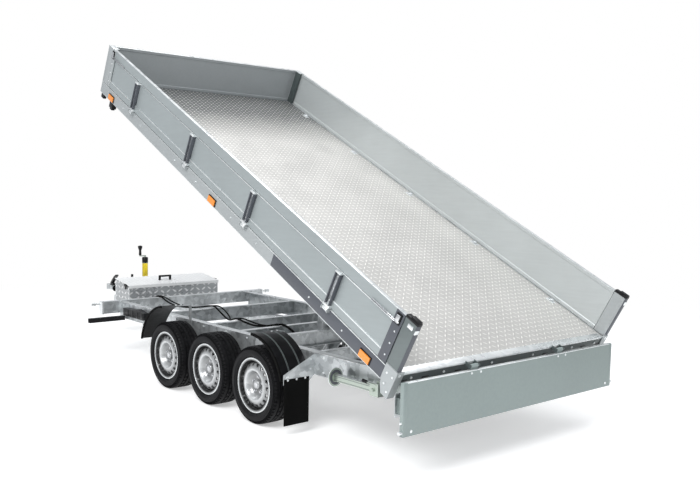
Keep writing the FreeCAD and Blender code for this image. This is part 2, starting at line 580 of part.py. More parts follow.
# ---------------------------------------------------------------- bed
def bed_frame():
    web = block("side_web", ("0", "bed_half - frame_wall", "frame_low"),
                ("bed_length", "frame_wall", "frame_height - frame_low"))
    low = block("side_low", ("0", "bed_half - frame_width", "frame_low"), ("bed_length", "frame_width", "frame_wall"))
    top = block("side_top", ("0", "bed_half - frame_width", "frame_height - frame_wall"),
                ("bed_length", "frame_width", "frame_wall"))
    pieces = [web, low, top]
    for index, place in enumerate(STRAP_PLACES):
        for ear, shift in (("a", "strap_half + 4"), ("b", "-strap_half - 10")):
            pieces.append(block("board_ear_%s_%d" % (ear, index),
                                (place + " + " + shift, "bed_half", "board_pin_up - eye_radius"),
                                ("6", "board_pin_out + eye_radius", "2 * eye_radius")))
        pieces.append(bar("board_pin_%d" % index, (place + " - strap_half - 7", "board_pin_y", "board_pin_up"), "x",
                          "board_pin_radius", "2 * strap_half + 14"))
    on_bed(both("side_rails", fuse("side_rail", pieces)), "bed_side_rails")
    inside = "bed_half - frame_width"
    sill = [block("sill_web", ("0", "-(%s)" % inside, "sill_drop"),
                  ("frame_wall", "2 * (%s)" % inside, "frame_height - sill_drop")),
            block("sill_top", ("0", "-(%s)" % inside, "frame_height - frame_wall"),
                  ("frame_width", "2 * (%s)" % inside, "frame_wall")),
            block("sill_low", ("0", "-(%s)" % inside, "sill_drop"), ("frame_width", "2 * (%s)" % inside, "frame_wall"))]
    for side, centre in (("left", "gate_hinge_y"), ("right", "-gate_hinge_y")):
        for ear, start in (("a", " + 34"), ("b", " - 40")):
            sill.append(block("gate_ear_%s_%s" % (side, ear),
                              ("-gate_back - eye_radius", centre + start, "gate_up - eye_radius"),
                              ("gate_back + eye_radius + frame_wall", "6", "2 * eye_radius")))
        sill.append(bar("gate_pin_" + side, ("-gate_back", centre + " - 37", "gate_up"), "y",
                        "board_pin_radius", "74"))
    front = [block("front_web", ("bed_length - frame_wall", "-(%s)" % inside, "frame_low"),
                   ("frame_wall", "2 * (%s)" % inside, "frame_height - frame_low")),
             block("front_top", ("bed_length - frame_width", "-(%s)" % inside, "frame_height - frame_wall"),
                   ("frame_width", "2 * (%s)" % inside, "frame_wall")),
             block("front_low", ("bed_length - frame_width", "-(%s)" % inside, "frame_low"),
                   ("frame_width", "2 * (%s)" % inside, "frame_wall"))]
    on_bed(fuse("rear_sill_solid", sill), "bed_rear_sill")
    on_bed(fuse("front_sill_solid", front), "bed_front_sill")


STRAP_PLACES = ("strap_first", "strap_second", "(bed_length - strap_second)", "(bed_length - strap_first)")
BED_MEMBERS = ("420", "900", "1320", "ram_eye_u - 142", "ram_eye_u + 92", "2400", "2900", "3400", "3800")


def underframe():
    members = [block("bed_member_%d" % index, (place, "frame_width - bed_half", "frame_height - bed_member_height"),
                     ("50", "2 * (bed_half - frame_width)", "bed_member_height"))
               for index, place in enumerate(BED_MEMBERS)]
    beams = []
    start = "rail_y - rail_width + ear_thick + side_gap"
    wide = "rail_width - 2 * ear_thick - 2 * side_gap"
    top = "frame_height - bed_member_height"
    for side, low_y in (("left", start), ("right", "-(%s) - (%s)" % (start, wide))):
        beams += [
            block("bed_beam_" + side, ("overhang", low_y, "-hinge_drop - beam_foot"),
                  ("bed_length - overhang - 150", wide, top + " + hinge_drop + beam_foot")),
            block("bed_beam_tail_" + side, ("overhang - beam_foot", low_y, "-hinge_drop"),
                  ("beam_foot", wide, top + " + hinge_drop")),
            bar("bed_beam_nose_" + side, ("overhang", low_y, "-hinge_drop"), "y", "beam_foot", wide)]
    eye_y = (("left", "34"), ("right", "-42"))
    bracket = [block("eye_bridge", ("ram_eye_u - 92", "-60", "frame_height - 30"), ("184", "120", "8"))]
    for side, low_y in eye_y:
        bracket.append(prism("eye_ear_" + side, "XZ", (
            ("ram_eye_u - 70", "frame_height - 26"), ("ram_eye_u + 70", "frame_height - 26"),
            ("ram_eye_u + 24", "ram_eye_v - 24"), ("ram_eye_u - 24", "ram_eye_v - 24")),
            "8", ("0", low_y + " + 8", "0")))
    hinge_hole = bar("bed_hinge_hole", ("overhang", "-rail_y", "-hinge_drop"), "y", "pin_radius + pin_fit",
                     "2 * rail_y")
    on_bed(group("beams_piece", [cut("beams_cut", fuse("beams_solid", beams), hinge_hole)]), "bed_beams")
    on_bed(fuse("members_solid", members + bracket), "bed_members")


def bed_panels():
    floor = block("floor", ("frame_wall + 1", "floor_inset - bed_half", "frame_height"),
                  ("bed_length - board_thick - swing_gap - frame_wall - 1", "2 * (bed_half - floor_inset)", "floor_thick"))
    on_bed(group("floor_piece", [floor]), "bed_floor")
    inner = "bed_length - board_thick"
    head = prism("head_panel", "XZ", (
        (inner, "floor_up"), ("bed_length", "floor_up"), ("bed_length", "board_top"), (inner, "board_top"),
        (inner, "board_top - 22"), (inner + " + 4", "board_top - 26"), (inner + " + 4", "floor_up + 26"),
        (inner, "floor_up + 22")), "2 * (bed_half - frame_width)", ("0", "bed_half - frame_width", "0"))
    on_bed(group("head_piece_2", [head]), "headboard")
    rear = [block("rear_post", ("0", "bed_half - board_thick", "floor_up"),
                  ("post_length", "board_thick", "post_top - floor_up")),
            block("rear_foot_end", ("-6", "bed_half - frame_width", "-4"), ("6", "frame_width + 4", "floor_up + 18")),
            prism("rear_foot_side", "XZ", (
                ("-6", "-4"), ("48", "-4"), ("76", "38"), ("90", "96"), ("90", "floor_up + 14"),
                ("-6", "floor_up + 14")), "4", ("0", "bed_half + 4", "0"))]
    front = [block("front_post", ("bed_length - post_length", "bed_half - frame_width", "floor_up"),
                   ("post_length", "frame_width", "board_top - floor_up"))]
    posts = group("posts_left", [fuse("rear_post_solid", rear), group("front_post_solid", front)])
    on_bed(both("posts", posts), "corner_posts")
    markers = [block("marker_%d" % index, (place + " - 45", "bed_half", "70"), ("90", "12", "42"))
               for index, place in enumerate(("243", "bed_length / 2", "bed_length - 233"))]
    on_bed(both("markers", group("markers_left", markers)), "side_markers")


def side_board():
    """One side board: its own hinge line is outside the frame's top edge."""
    outer = "bed_half"
    inner = "bed_half - board_thick"
    low = "floor_up + 2"
    board = prism("board_section", "YZ", (
        (inner, low), (outer, low), (outer, "floor_up + 50"), (outer + " - 7", "floor_up + 57"),
        (outer + " - 7", "board_top - 80"), (outer + " - 10", "board_top - 77"),
        (outer + " - 10", "board_top - 74"), (outer, "board_top - 69"), (outer, "board_top"),
        (inner, "board_top"), (inner, "board_top - 20"), (inner + " + 4", "board_top - 26"),
        (inner + " + 4", "floor_up + 30"), (inner, "floor_up + 24")),
        "bed_length - 2 * post_length - 2 * swing_gap", ("post_length + swing_gap", "0", "0"))
    left = on_bed(group("board_piece", [board]), "side_board_left")
    mirrored_as("board_other", left, "side_board_right")
    fittings = []
    for index, place in enumerate(STRAP_PLACES):
        strap = block("strap_%d" % index, (place + " - strap_half", "bed_half", "floor_up + 12"),
                      ("2 * strap_half", "strap_depth", "strap_top - floor_up - 12"))
        web = block("strap_web_%d" % index, (place + " - strap_half", "board_pin_y - 4", "board_pin_up"),
                    ("2 * strap_half", "8", "floor_up + 20 - board_pin_up"))
        eye = bar("strap_eye_%d" % index, (place + " - strap_half", "board_pin_y", "board_pin_up"), "x",
                  "eye_radius", "2 * strap_half")
        hole = bar("strap_hole_%d" % index, (place + " - strap_half", "board_pin_y", "board_pin_up"), "x",
                   "board_pin_radius + pin_fit", "2 * strap_half")
        fittings.append(cut("strap_cut_%d" % index, fuse("strap_solid_%d" % index, [strap, web, eye]), hole))
    for index, start in enumerate(("post_length + swing_gap + 12", "bed_length - post_length - swing_gap - 72")):
        fittings.append(block("board_latch_%d" % index, (start, "bed_half", "board_top - 62"), ("60", "20", "34")))
    left = on_bed(group("board_fittings", fittings), "board_fittings_left")
    mirrored_as("board_fittings_other", left, "board_fittings_right")


def tailgate():
    near = "gate_back - 6 - swing_gap - gate_thick"
    panel = block("gate_panel", (near, "-gate_half", "gate_lift"), ("gate_thick", "2 * gate_half", "gate_height"))
    pieces = [panel]
    holes = []
    for side, centre in (("left", "gate_hinge_y"), ("right", "-gate_hinge_y")):
        pieces.append(block("gate_web_" + side, ("-4", centre + " - 30", "0"), ("8", "60", "gate_lift + 4")))
        pieces.append(bar("gate_eye_" + side, ("0", centre + " - 30", "0"), "y", "eye_radius", "60"))
        holes.append(bar("gate_hole_" + side, ("0", centre + " - 30", "0"), "y", "board_pin_radius + pin_fit", "60"))
    on_gate(group("gate_piece", [cut("gate_cut", fuse("gate_solid", pieces), fuse("gate_holes", holes))]), "tailgate")


# ---------------------------------------------------------------- lifting ram
def ram():
    low = "ram_foot"
    shell = cut("barrel_shell", bar("barrel_out", ("0", "0", low), "z", "ram_radius", "ram_stage_high - ram_foot"),
                bar("barrel_bore", ("0", "0", low + " + 12"), "z", "ram_radius - ram_wall", "ram_stage_high"))
    lug = bar("barrel_lug", ("0", "ram_wall - ram_radius", "0"), "y", "ram_lug", "2 * (ram_radius - ram_wall)")
    hole = bar("barrel_hole", ("0", "-cradle_y", "0"), "y", "pin_radius + pin_fit", "2 * cradle_y")
    on_ram(group("barrel_piece", [cut("barrel", fuse("barrel_solid", [shell, lug]), hole)]), "ram_barrel", 0)
    for stage in (1, 2, 3):
        outer = "ram_radius - %d * ram_wall - ram_fit" % stage
        inner = "ram_radius - %d * ram_wall" % (stage + 1)
        long = "ram_stage_high - ram_stage_low + %d" % (3 * stage)
        made = cut("stage_%d" % stage, bar("stage_out_%d" % stage, ("0", "0", "ram_stage_low"), "z", outer, long),
                   bar("stage_in_%d" % stage, ("0", "0", "ram_stage_low"), "z", inner, long))
        on_ram(group("stage_piece_%d" % stage, [made]), "ram_stage_%d" % stage, stage)
    rod = bar("rod_body", ("0", "0", "ram_stage_low"), "z", "ram_radius - ram_count * ram_wall - ram_fit",
              "ram_closed - 70 - ram_stage_low")
    neck = bar("rod_neck", ("0", "0", "ram_closed - 85"), "z", "ram_eye - 4", "75")
    eye = bar("rod_eye", ("0", "-ram_eye", "ram_closed"), "y", "ram_eye", "2 * ram_eye")
    on_ram(fuse("rod_solid", [rod, neck, eye]), "ram_rod", 4)


# ---------------------------------------------------------------- parking legs
def parking_leg():
    post = tube("leg_post", ("-leg_x - 18", "leg_y - leg_width / 2", "leg_up - leg_width / 2"),
                ("leg_length + 18", "leg_width", "leg_width"), "leg_wall", "x")
    pad = bar("leg_pad", ("-leg_x + leg_length", "leg_y", "leg_up"), "x", "pad_radius", "pad_thick")
    hole = bar("leg_hole", ("-leg_x", "leg_y - leg_width", "leg_up"), "y", "8 + pin_fit", "2 * leg_width")
    left = on_chassis(group("leg_piece", [cut("leg_cut", fuse("leg_solid", [post, pad]), hole)]), "leg_left")
    mirrored_as("leg_other", left, "leg_right")


def faults():
    """Names of objects that failed, and of sub-parts with no sound shape."""
    bad = [item.Name for item in doc.Objects if {"Invalid", "Error"} & set(item.State)]
    return bad + [piece.Label for piece in nodes
                  if piece.Shape.isNull() or not piece.Shape.isValid() or piece.Shape.Volume <= 0]


chassis()
axles()
coupling()
jockey()
toolbox()
mudguards()
chassis_fittings()
wheels()
bed_frame()
underframe()
bed_panels()
side_board()
tailgate()
ram()
parking_leg()
doc.recompute()

if faults():
    raise SystemExit("failed: " + ", ".join(faults()))
os.makedirs("parts", exist_ok=True)
for piece in nodes:
    piece.Shape.exportStep("parts/%s.step" % piece.Label)
print(len(nodes), "sub-parts written")
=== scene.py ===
import json
import math

import bpy
from mathutils import Matrix, Vector

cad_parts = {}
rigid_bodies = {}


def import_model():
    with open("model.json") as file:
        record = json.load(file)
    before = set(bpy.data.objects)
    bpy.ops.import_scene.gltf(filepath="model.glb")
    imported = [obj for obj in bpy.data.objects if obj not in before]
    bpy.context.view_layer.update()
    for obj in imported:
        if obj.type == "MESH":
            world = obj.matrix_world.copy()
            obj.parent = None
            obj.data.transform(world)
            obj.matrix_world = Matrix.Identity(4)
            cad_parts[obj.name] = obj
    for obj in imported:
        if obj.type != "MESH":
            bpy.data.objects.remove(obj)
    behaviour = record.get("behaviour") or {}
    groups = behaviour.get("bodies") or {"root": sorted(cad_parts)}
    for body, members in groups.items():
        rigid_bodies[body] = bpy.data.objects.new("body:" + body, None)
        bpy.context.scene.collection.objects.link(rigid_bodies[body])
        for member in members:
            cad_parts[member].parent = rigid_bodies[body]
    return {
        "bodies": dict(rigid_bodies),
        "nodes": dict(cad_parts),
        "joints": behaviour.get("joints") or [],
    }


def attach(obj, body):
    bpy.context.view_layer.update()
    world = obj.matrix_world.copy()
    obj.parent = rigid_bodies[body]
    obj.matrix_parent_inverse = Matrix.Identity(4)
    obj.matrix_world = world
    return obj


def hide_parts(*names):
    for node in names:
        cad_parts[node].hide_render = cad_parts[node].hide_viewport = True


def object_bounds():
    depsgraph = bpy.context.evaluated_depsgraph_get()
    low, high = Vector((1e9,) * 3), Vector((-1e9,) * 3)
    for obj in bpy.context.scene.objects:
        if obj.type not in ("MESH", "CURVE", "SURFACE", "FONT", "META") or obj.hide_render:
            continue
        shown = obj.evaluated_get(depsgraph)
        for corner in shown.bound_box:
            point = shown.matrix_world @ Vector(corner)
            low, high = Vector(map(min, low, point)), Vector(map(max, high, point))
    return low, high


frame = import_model()
CAD_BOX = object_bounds()
NODES = frame["nodes"]
JOINTS = {joint["name"]: joint for joint in frame["joints"]}
GROUND = min(corner[2] for corner in CAD_BOX)

TILT = math.radians(27.5)
HINGE = Vector(JOINTS["bed_tilt"]["pos_m"])


# ------------------------------------------------------------------ material building
class Paint:
    """A material being wired: each call adds a node and gives back its output socket."""

    def __init__(self, name):
        self.material = bpy.data.materials.new(name)
        self.material.use_nodes = True
        self.tree = self.material.node_tree
        self.shader = self.tree.nodes["Principled BSDF"]
        self.coordinates = self.tree.nodes.new("ShaderNodeTexCoord").outputs["Object"]

    def fill(self, socket, value):
        if isinstance(value, bpy.types.NodeSocket):
            self.tree.links.new(value, socket)
        elif hasattr(socket.default_value, "__len__") and not hasattr(value, "__len__"):
            socket.default_value = [value] * len(socket.default_value)
        else:
            socket.default_value = value

    def maths(self, operation, *values):
        node = self.tree.nodes.new("ShaderNodeMath")
        node.operation = operation
        for socket, value in zip(node.inputs, values):
            self.fill(socket, value)
        return node.outputs[0]

    def place(self, turn=(0, 0, 0), size=(1, 1, 1), shift=(0, 0, 0), source=None):
        node = self.tree.nodes.new("ShaderNodeMapping")
        self.fill(node.inputs["Vector"], source or self.coordinates)
        node.inputs["Rotation"].default_value = turn
        node.inputs["Scale"].default_value = size
        node.inputs["Location"].default_value = shift
        return node.outputs[0]

    def noise(self, scale, detail=4.0, rough=0.55, source=None):
        node = self.tree.nodes.new("ShaderNodeTexNoise")
        self.fill(node.inputs["Vector"], source or self.coordinates)
        node.inputs["Scale"].default_value = scale
        node.inputs["Detail"].default_value = detail
        node.inputs["Roughness"].default_value = rough
        return node.outputs["Fac"]

    def cells(self, scale, source=None, feature="F1", out="Color"):
        node = self.tree.nodes.new("ShaderNodeTexVoronoi")
        node.feature = feature
        self.fill(node.inputs["Vector"], source or self.coordinates)
        node.inputs["Scale"].default_value = scale
        return node.outputs[out]

    def apart(self, vector):
        node = self.tree.nodes.new("ShaderNodeSeparateXYZ")
        self.fill(node.inputs[0], vector)
        return node.outputs

    def grey(self, colour):
        node = self.tree.nodes.new("ShaderNodeRGBToBW")
        self.fill(node.inputs[0], colour)
        return node.outputs[0]

    def range(self, value, low, high, to_low, to_high):
        node = self.tree.nodes.new("ShaderNodeMapRange")
        for socket, item in zip(node.inputs, (value, low, high, to_low, to_high)):
            self.fill(socket, item)
        return node.outputs[0]

    def ramp(self, value, stops):
        node = self.tree.nodes.new("ShaderNodeValToRGB")
        self.fill(node.inputs[0], value)
        marks = node.color_ramp.elements
        while len(marks) < len(stops):
            marks.new(0.5)
        for mark, (place, colour) in zip(marks, stops):
            mark.position = place
            mark.color = (*colour, 1.0)
        return node.outputs["Color"]

    def mix(self, share, first, second, blend="MIX"):
        node = self.tree.nodes.new("ShaderNodeMix")
        node.data_type = "RGBA"
        node.blend_type = blend
        self.fill(node.inputs[0], share)
        for socket, colour in zip((node.inputs[6], node.inputs[7]), (first, second)):
            self.fill(socket, (*colour, 1.0) if isinstance(colour, tuple) else colour)
        return node.outputs[2]

    def bump(self, height, strength, distance):
        node = self.tree.nodes.new("ShaderNodeBump")
        node.inputs["Strength"].default_value = strength
        node.inputs["Distance"].default_value = distance
        self.fill(node.inputs["Height"], height)
        self.fill(self.shader.inputs["Normal"], node.outputs[0])

    def finish(self, colour=None, rough=None, metal=None, coat=None, specular=None):
        if colour is not None:
            self.fill(self.shader.inputs["Base Color"], (*colour, 1.0) if isinstance(colour, tuple) else colour)
        for name, value in (("Roughness", rough), ("Metallic", metal), ("Coat Weight", coat),
                            ("Specular IOR Level", specular)):
            if value is not None:
                self.fill(self.shader.inputs[name], value)
        return self.material


def galvanised(name, dark, pale, rough=0.38, scale=26.0):
    """Hot dip zinc: angular spangle, soft cloudy stains and a slightly uneven skin."""
    paint = Paint(name)
    spangle = paint.grey(paint.cells(scale))
    cloud = paint.noise(2.6, 6.0, 0.6)
    streak = paint.noise(7.0, 3.0, source=paint.place(size=(1.0, 1.0, 5.0)))
    mixed = paint.maths("ADD", paint.maths("MULTIPLY", spangle, 0.35),
                        paint.maths("ADD", paint.maths("MULTIPLY", cloud, 0.75), paint.maths("MULTIPLY", streak, 0.25)))
    colour = paint.ramp(mixed, ((0.35, dark), (0.95, pale)))
    paint.bump(paint.noise(60.0, 3.0), 0.12, 0.002)
    return paint.finish(colour, paint.range(mixed, 0.3, 1.0, rough - 0.1, rough + 0.16), 0.75)


def coated_sheet(name, colour, rough=0.42, metal=0.35):
    """Smooth coated steel sheet with faint rolling streaks and cloudy wear."""
    paint = Paint(name)
    cloud = paint.noise(1.3, 5.0, 0.6)
    grain = paint.noise(18.0, 2.0, source=paint.place(turn=(0, TILT, 0), size=(0.25, 3.0, 3.0)))
    shade = paint.maths("ADD", paint.maths("MULTIPLY", cloud, 0.7), paint.maths("MULTIPLY", grain, 0.3))
    low = tuple(channel * 0.9 for channel in colour)
    high = tuple(min(1.0, channel * 1.1) for channel in colour)
    paint.bump(paint.noise(5.0, 2.0), 0.05, 0.004)
    return paint.finish(paint.ramp(shade, ((0.3, low), (0.75, high))),
                        paint.range(shade, 0.3, 0.8, rough - 0.06, rough + 0.08), metal)


def tread_sheet(name, colour, painted_bar_highlight, pitch, turn, across, long, height, metal=0.7, rough=0.34, painted_shade_front_end=False):
    """Rolled tread plate: short raised bars, turned a quarter from one cell to the next. The bars are coloured towards
    a painted highlight, and an option paints shade over the far end of the bed floor.
    """
    paint = Paint(name)
    flat = paint.place(turn=turn, size=(1.0 / pitch, 1.0 / pitch, 1.0 / pitch))
    outs = paint.apart(flat)
    first, second = (outs[index] for index in across)
    cell_a, cell_b = paint.maths("FLOOR", first), paint.maths("FLOOR", second)
    odd = paint.maths("MODULO", paint.maths("ABSOLUTE", paint.maths("ADD", cell_a, cell_b)), 2.0)
    a = paint.maths("SUBTRACT", paint.maths("SUBTRACT", first, cell_a), 0.5)
    b = paint.maths("SUBTRACT", paint.maths("SUBTRACT", second, cell_b), 0.5)
    sum_ab = paint.maths("MULTIPLY", paint.maths("ADD", a, b), 0.7071)
    gap_ab = paint.maths("MULTIPLY", paint.maths("SUBTRACT", a, b), 0.7071)
    along = paint.mix(odd, sum_ab, gap_ab)
    aside = paint.mix(odd, gap_ab, sum_ab)
    far = paint.maths("ADD", paint.maths("POWER", paint.maths("DIVIDE", along, long), 2.0),
                      paint.maths("POWER", paint.maths("DIVIDE", aside, height), 2.0))
    raised = paint.range(far, 0.35, 1.0, 1.0, 0.0)
    wear = paint.noise(3.0, 5.0, 0.6)
    base = paint.ramp(wear, ((0.3, tuple(c * 0.9 for c in colour)), (0.7, colour)))
    # painted shade: from about 3.15 m along the bed the colour darkens nearly to black towards the headboard end; the
    # wear noise only ruffles the edge of this shade
    if painted_shade_front_end:
        east, _, up = (paint.apart(paint.coordinates)[index] for index in range(3))
        reach = paint.maths("ADD", paint.maths("MULTIPLY", east, math.cos(TILT)),
                            paint.maths("ADD", paint.maths("MULTIPLY", up, math.sin(TILT)), 4.9486))
        edge = paint.maths("ADD", reach, paint.maths("MULTIPLY", wear, 0.3))
        base = paint.mix(paint.range(edge, 3.15, 3.75, 0.0, 0.93), base, (0.075, 0.082, 0.085))
    paint.bump(raised, 1.0, 0.0022)
    # painted highlight: the raised bars are coloured 70% towards a light highlight colour
    return paint.finish(paint.mix(paint.maths("MULTIPLY", raised, 0.7), base, painted_bar_highlight),
                        paint.range(wear, 0.3, 0.7, rough - 0.05, rough + 0.1), metal)


def moulded(name, colour, rough, grain, depth, gloss):
    """Moulded plastic or rubber: fine grain, dusty patches."""
    paint = Paint(name)
    dust = paint.noise(9.0, 5.0, 0.65)
    low = tuple(channel * 0.75 for channel in colour)
    high = tuple(channel * 1.7 + 0.002 for channel in colour)
    paint.bump(paint.noise(grain, 3.0), 0.25, depth)
    return paint.finish(paint.ramp(dust, ((0.35, low), (0.8, high))),
                        paint.range(dust, 0.3, 0.8, rough - 0.08, rough + 0.1), 0.0, specular=gloss)


def lens(name, colour):
    """Clear moulded lens over small reflector cells."""
    paint = Paint(name)
    cell = paint.cells(260.0, out="Distance")
    paint.bump(cell, 0.35, 0.001)
    bright = tuple(min(1.0, channel * 1.25 + 0.02) for channel in colour)
    return paint.finish(paint.ramp(cell, ((0.1, colour), (0.7, bright))), 0.16, 0.0, coat=0.6)


def plated(name, colour, rough):
    """Bright zinc or ground rod with fine turning marks."""
    paint = Paint(name)
    mark = paint.noise(220.0, 2.0, source=paint.place(size=(1.0, 1.0, 6.0)))
    cloud = paint.noise(6.0, 4.0)
    paint.bump(mark, 0.08, 0.0006)
    return paint.finish(paint.ramp(cloud, ((0.3, tuple(c * 0.86 for c in colour)), (0.75, colour))),
                        paint.range(cloud, 0.3, 0.8, rough, rough + 0.14), 0.9)


def rim_with_painted_shade_and_highlight():
    """Silver wheel painted with light and shade by distance from each axle: painted highlights on the hub, crown and
    lip, painted shade in the bowl and a dark painted shadow in the well behind the vents.
    """
    paint = Paint("rim_silver")
    east, _, up = (paint.apart(paint.coordinates)[index] for index in range(3))
    across = paint.maths("WRAP", paint.maths("ADD", east, 4.28), 0.3, -0.3)
    above = paint.maths("ADD", up, 0.1675)
    away = paint.maths("SQRT", paint.maths("ADD", paint.maths("MULTIPLY", across, across),
                                           paint.maths("MULTIPLY", above, above)))
    # painted light and shade: greys by radius stand in for the highlights on hub, crown and lip and the shade in the
    # bowl and behind the vents
    painted_light_greys = ((0.0, 0.50), (0.14, 0.50), (0.17, 0.24), (0.36, 0.30), (0.43, 0.42), (0.50, 0.72), (0.56, 0.55),
             (0.64, 0.36), (0.74, 0.26), (0.78, 0.07), (0.83, 0.04), (0.86, 0.20), (0.90, 0.55), (0.93, 0.36), (0.97, 0.62))
    tone = paint.ramp(paint.maths("MULTIPLY", away, 5.0), [(place, (grey, grey * 1.02, grey * 1.03)) for place, grey in painted_light_greys])
    cloud = paint.noise(9.0, 4.0)
    paint.bump(paint.noise(90.0, 2.0), 0.05, 0.001)
    return paint.finish(paint.mix(paint.range(cloud, 0.3, 0.8, 0.0, 0.14), tone, (0.12, 0.12, 0.125)),
                        paint.range(cloud, 0.3, 0.8, 0.26, 0.4), 0.55)


ZINC = galvanised("dipped_zinc", (0.20, 0.215, 0.225), (0.86, 0.89, 0.90), 0.34)
# The bright zinc serves real bright parts such as bolts and plates, and also thin strips laid on top faces and edges as
# painted highlights.
ZINC_BRIGHT = galvanised("fresh_zinc_and_painted_highlight", (0.66, 0.69, 0.70), (0.95, 0.97, 0.97), 0.28)
LEG_ZINC = plated("leg_plating", (0.48, 0.54, 0.48), 0.3)
BOARD = coated_sheet("board_sheet", (0.335, 0.37, 0.375), 0.42, 0.25)
# painted light: the right side board gets a paler, lit copy of the same board sheet
BOARD_PAINTED_LIT = coated_sheet("board_sheet_painted_lit", (0.50, 0.53, 0.53), 0.42, 0.25)
GATE = coated_sheet("gate_sheet", (0.29, 0.345, 0.335), 0.42, 0.25)
FRAME = coated_sheet("frame_silver", (0.40, 0.425, 0.43), 0.4, 0.3)
POST = coated_sheet("post_sheet", (0.155, 0.18, 0.18), 0.4, 0.3)
SILL = coated_sheet("sill_sheet", (0.085, 0.105, 0.105), 0.4, 0.35)
HEAD = coated_sheet("headboard_sheet", (0.36, 0.385, 0.395), 0.45, 0.2)
SLATE = coated_sheet("frame_sheet", (0.095, 0.102, 0.118), 0.45, 0.2)
# The floor's raised bars carry a painted highlight and its headboard end a painted shade.
FLOOR = tread_sheet("floor_tread", (0.56, 0.55, 0.53), (0.92, 0.91, 0.87), 0.040, (0, TILT, 0), (0, 1), 0.42, 0.15,
                    0.3, 0.36, True)
CHEQUER = tread_sheet("box_tread", (0.42, 0.435, 0.445), (0.98, 0.98, 0.98), 0.048, (0, 0, math.radians(45)), (0, 2),
                      0.47, 0.17, 0.5, 0.25)
# painted light: the lid's tread is a paler, lit copy of the box's chequer plate, for its upward face
CHEQUER_LID_PAINTED_LIT = tread_sheet("lid_tread_painted_lit", (0.84, 0.85, 0.85), (0.97, 0.97, 0.97), 0.048, (0, 0, 0), (0, 1), 0.46, 0.15,
                          0.1, 0.3)
RIM = rim_with_painted_shade_and_highlight()
TYRE = moulded("tyre_black", (0.006, 0.006, 0.007), 0.6, 320.0, 0.0008, 0.2)
PLASTIC = moulded("guard_plastic", (0.004, 0.004, 0.005), 0.36, 500.0, 0.0005, 0.3)
RUBBER = moulded("flap_rubber", (0.002, 0.002, 0.002), 0.6, 260.0, 0.0006, 0.06)
YELLOW = moulded("band_yellow", (0.66, 0.50, 0.02), 0.4, 300.0, 0.0003, 0.4)
AMBER = lens("amber_lens", (0.72, 0.22, 0.005))
RED = lens("red_lens", (0.42, 0.01, 0.01))
ROD = plated("rod_chrome", (0.66, 0.67, 0.69), 0.14)

FINISHES = {"zinc": (ZINC, "galvanised"), "bright": (ZINC_BRIGHT, "zinc"), "leg": (LEG_ZINC, "zinc"),
            "board": (BOARD, "board_steel"), "gate": (GATE, "board_steel"),
            "post": (POST, "grey_paint"), "sill": (SILL, "grey_paint"), "frame": (FRAME, "galvanised"), "slate": (SLATE, "grey_paint"), "rim": (RIM, "rim_steel"),
            "tyre": (TYRE, "tyre_rubber"), "plastic": (PLASTIC, "black_plastic"), "rubber": (RUBBER, "black_rubber"),
            "amber": (AMBER, "amber_lens"), "red": (RED, "red_lens"), "chrome": (ROD, "chrome_rod"),
            "yellow": (YELLOW, "black_plastic")}


def dress(names, material):
    for name in names:
        slots = NODES[name].data.materials
        slots.clear()
        slots.append(material)


for node_name in NODES:
    dress([node_name], ZINC)
dress([name for name in NODES if name.startswith("tyre_")], TYRE)
dress([name for name in NODES if name.startswith("rim_")], RIM)
dress(["side_board_left"], BOARD)
dress(["side_board_right"], BOARD_PAINTED_LIT)
dress(["tailgate"], GATE)
dress(["headboard"], HEAD)
dress(["bed_rear_sill"], SILL)
dress(["corner_posts"], FRAME)
dress(["bed_side_rails"], FRAME)
dress(["bed_floor"], FLOOR)
dress(["toolbox"], CHEQUER)
dress(["toolbox_lid"], CHEQUER_LID_PAINTED_LIT)
dress(["mudguards", "wheel_chocks", "coupling_handle", "lamp_arms"], PLASTIC)
dress(["rear_lamps"], GATE)
dress(["mud_flaps", "coupling_bellows", "jockey_wheel"], RUBBER)
dress(["side_markers"], AMBER)
dress([name for name in NODES if name.startswith("ram_stage") or name == "ram_rod"], ROD)
dress(["leg_left", "leg_right", "leg_mounts", "jockey_tube", "jockey_slide", "jockey_fork"], LEG_ZINC)
dress(["bed_locks"], ZINC_BRIGHT)


# ------------------------------------------------------------------ modelling helpers
AT_CHASSIS = Matrix.Translation((-4.28, 0.0, -0.43))
AT_BED = (Matrix.Translation(HINGE) @ Matrix.Rotation(-TILT, 4, "Y") @ Matrix.Translation((-0.332, 0.0, 0.05)))
AT_GATE = Matrix.Translation(Vector(JOINTS["tailgate_swing"]["pos_m"]))
SIDES = (("left", 1), ("right", -1))
ALONG = {"x": (0, math.pi / 2, 0), "y": (math.pi / 2, 0, 0), "z": (0, 0, 0)}


def alone(made=None):
    bpy.ops.object.select_all(action="DESELECT")
    if made is not None:
        made.select_set(True)
        bpy.context.view_layer.objects.active = made


def slab(low, high, place=AT_CHASSIS):
    """A straight block between two corners."""
    low, high = [min(pair) for pair in zip(low, high)], [max(pair) for pair in zip(low, high)]
    alone()
    bpy.ops.mesh.primitive_cube_add(size=1.0)
    made = bpy.context.object
    middle = Vector([(a + b) / 2 for a, b in zip(low, high)])
    made.matrix_world = place @ Matrix.Translation(middle) @ Matrix.Diagonal(
        (*[b - a for a, b in zip(low, high)], 1.0))
    return made


def rod(start, end, radius, place=AT_CHASSIS, sides=20):
    """A round bar between two points."""
    start, end = Vector(start), Vector(end)
    alone()
    bpy.ops.mesh.primitive_cylinder_add(vertices=sides, radius=radius, depth=(end - start).length)
    made = bpy.context.object
    turn = (end - start).to_track_quat("Z", "Y").to_matrix().to_4x4()
    made.matrix_world = place @ Matrix.Translation((start + end) / 2) @ turn
    return made


def ring(centre, axis, big, small, place=AT_CHASSIS):
    alone()
    bpy.ops.mesh.primitive_torus_add(major_radius=big, minor_radius=small, major_segments=40, minor_segments=10)
    made = bpy.context.object
    made.matrix_world = place @ Matrix.Translation(centre) @ Matrix.Rotation(
        math.pi / 2 if axis != "z" else 0.0, 4, "Y" if axis == "x" else "X")
    return made


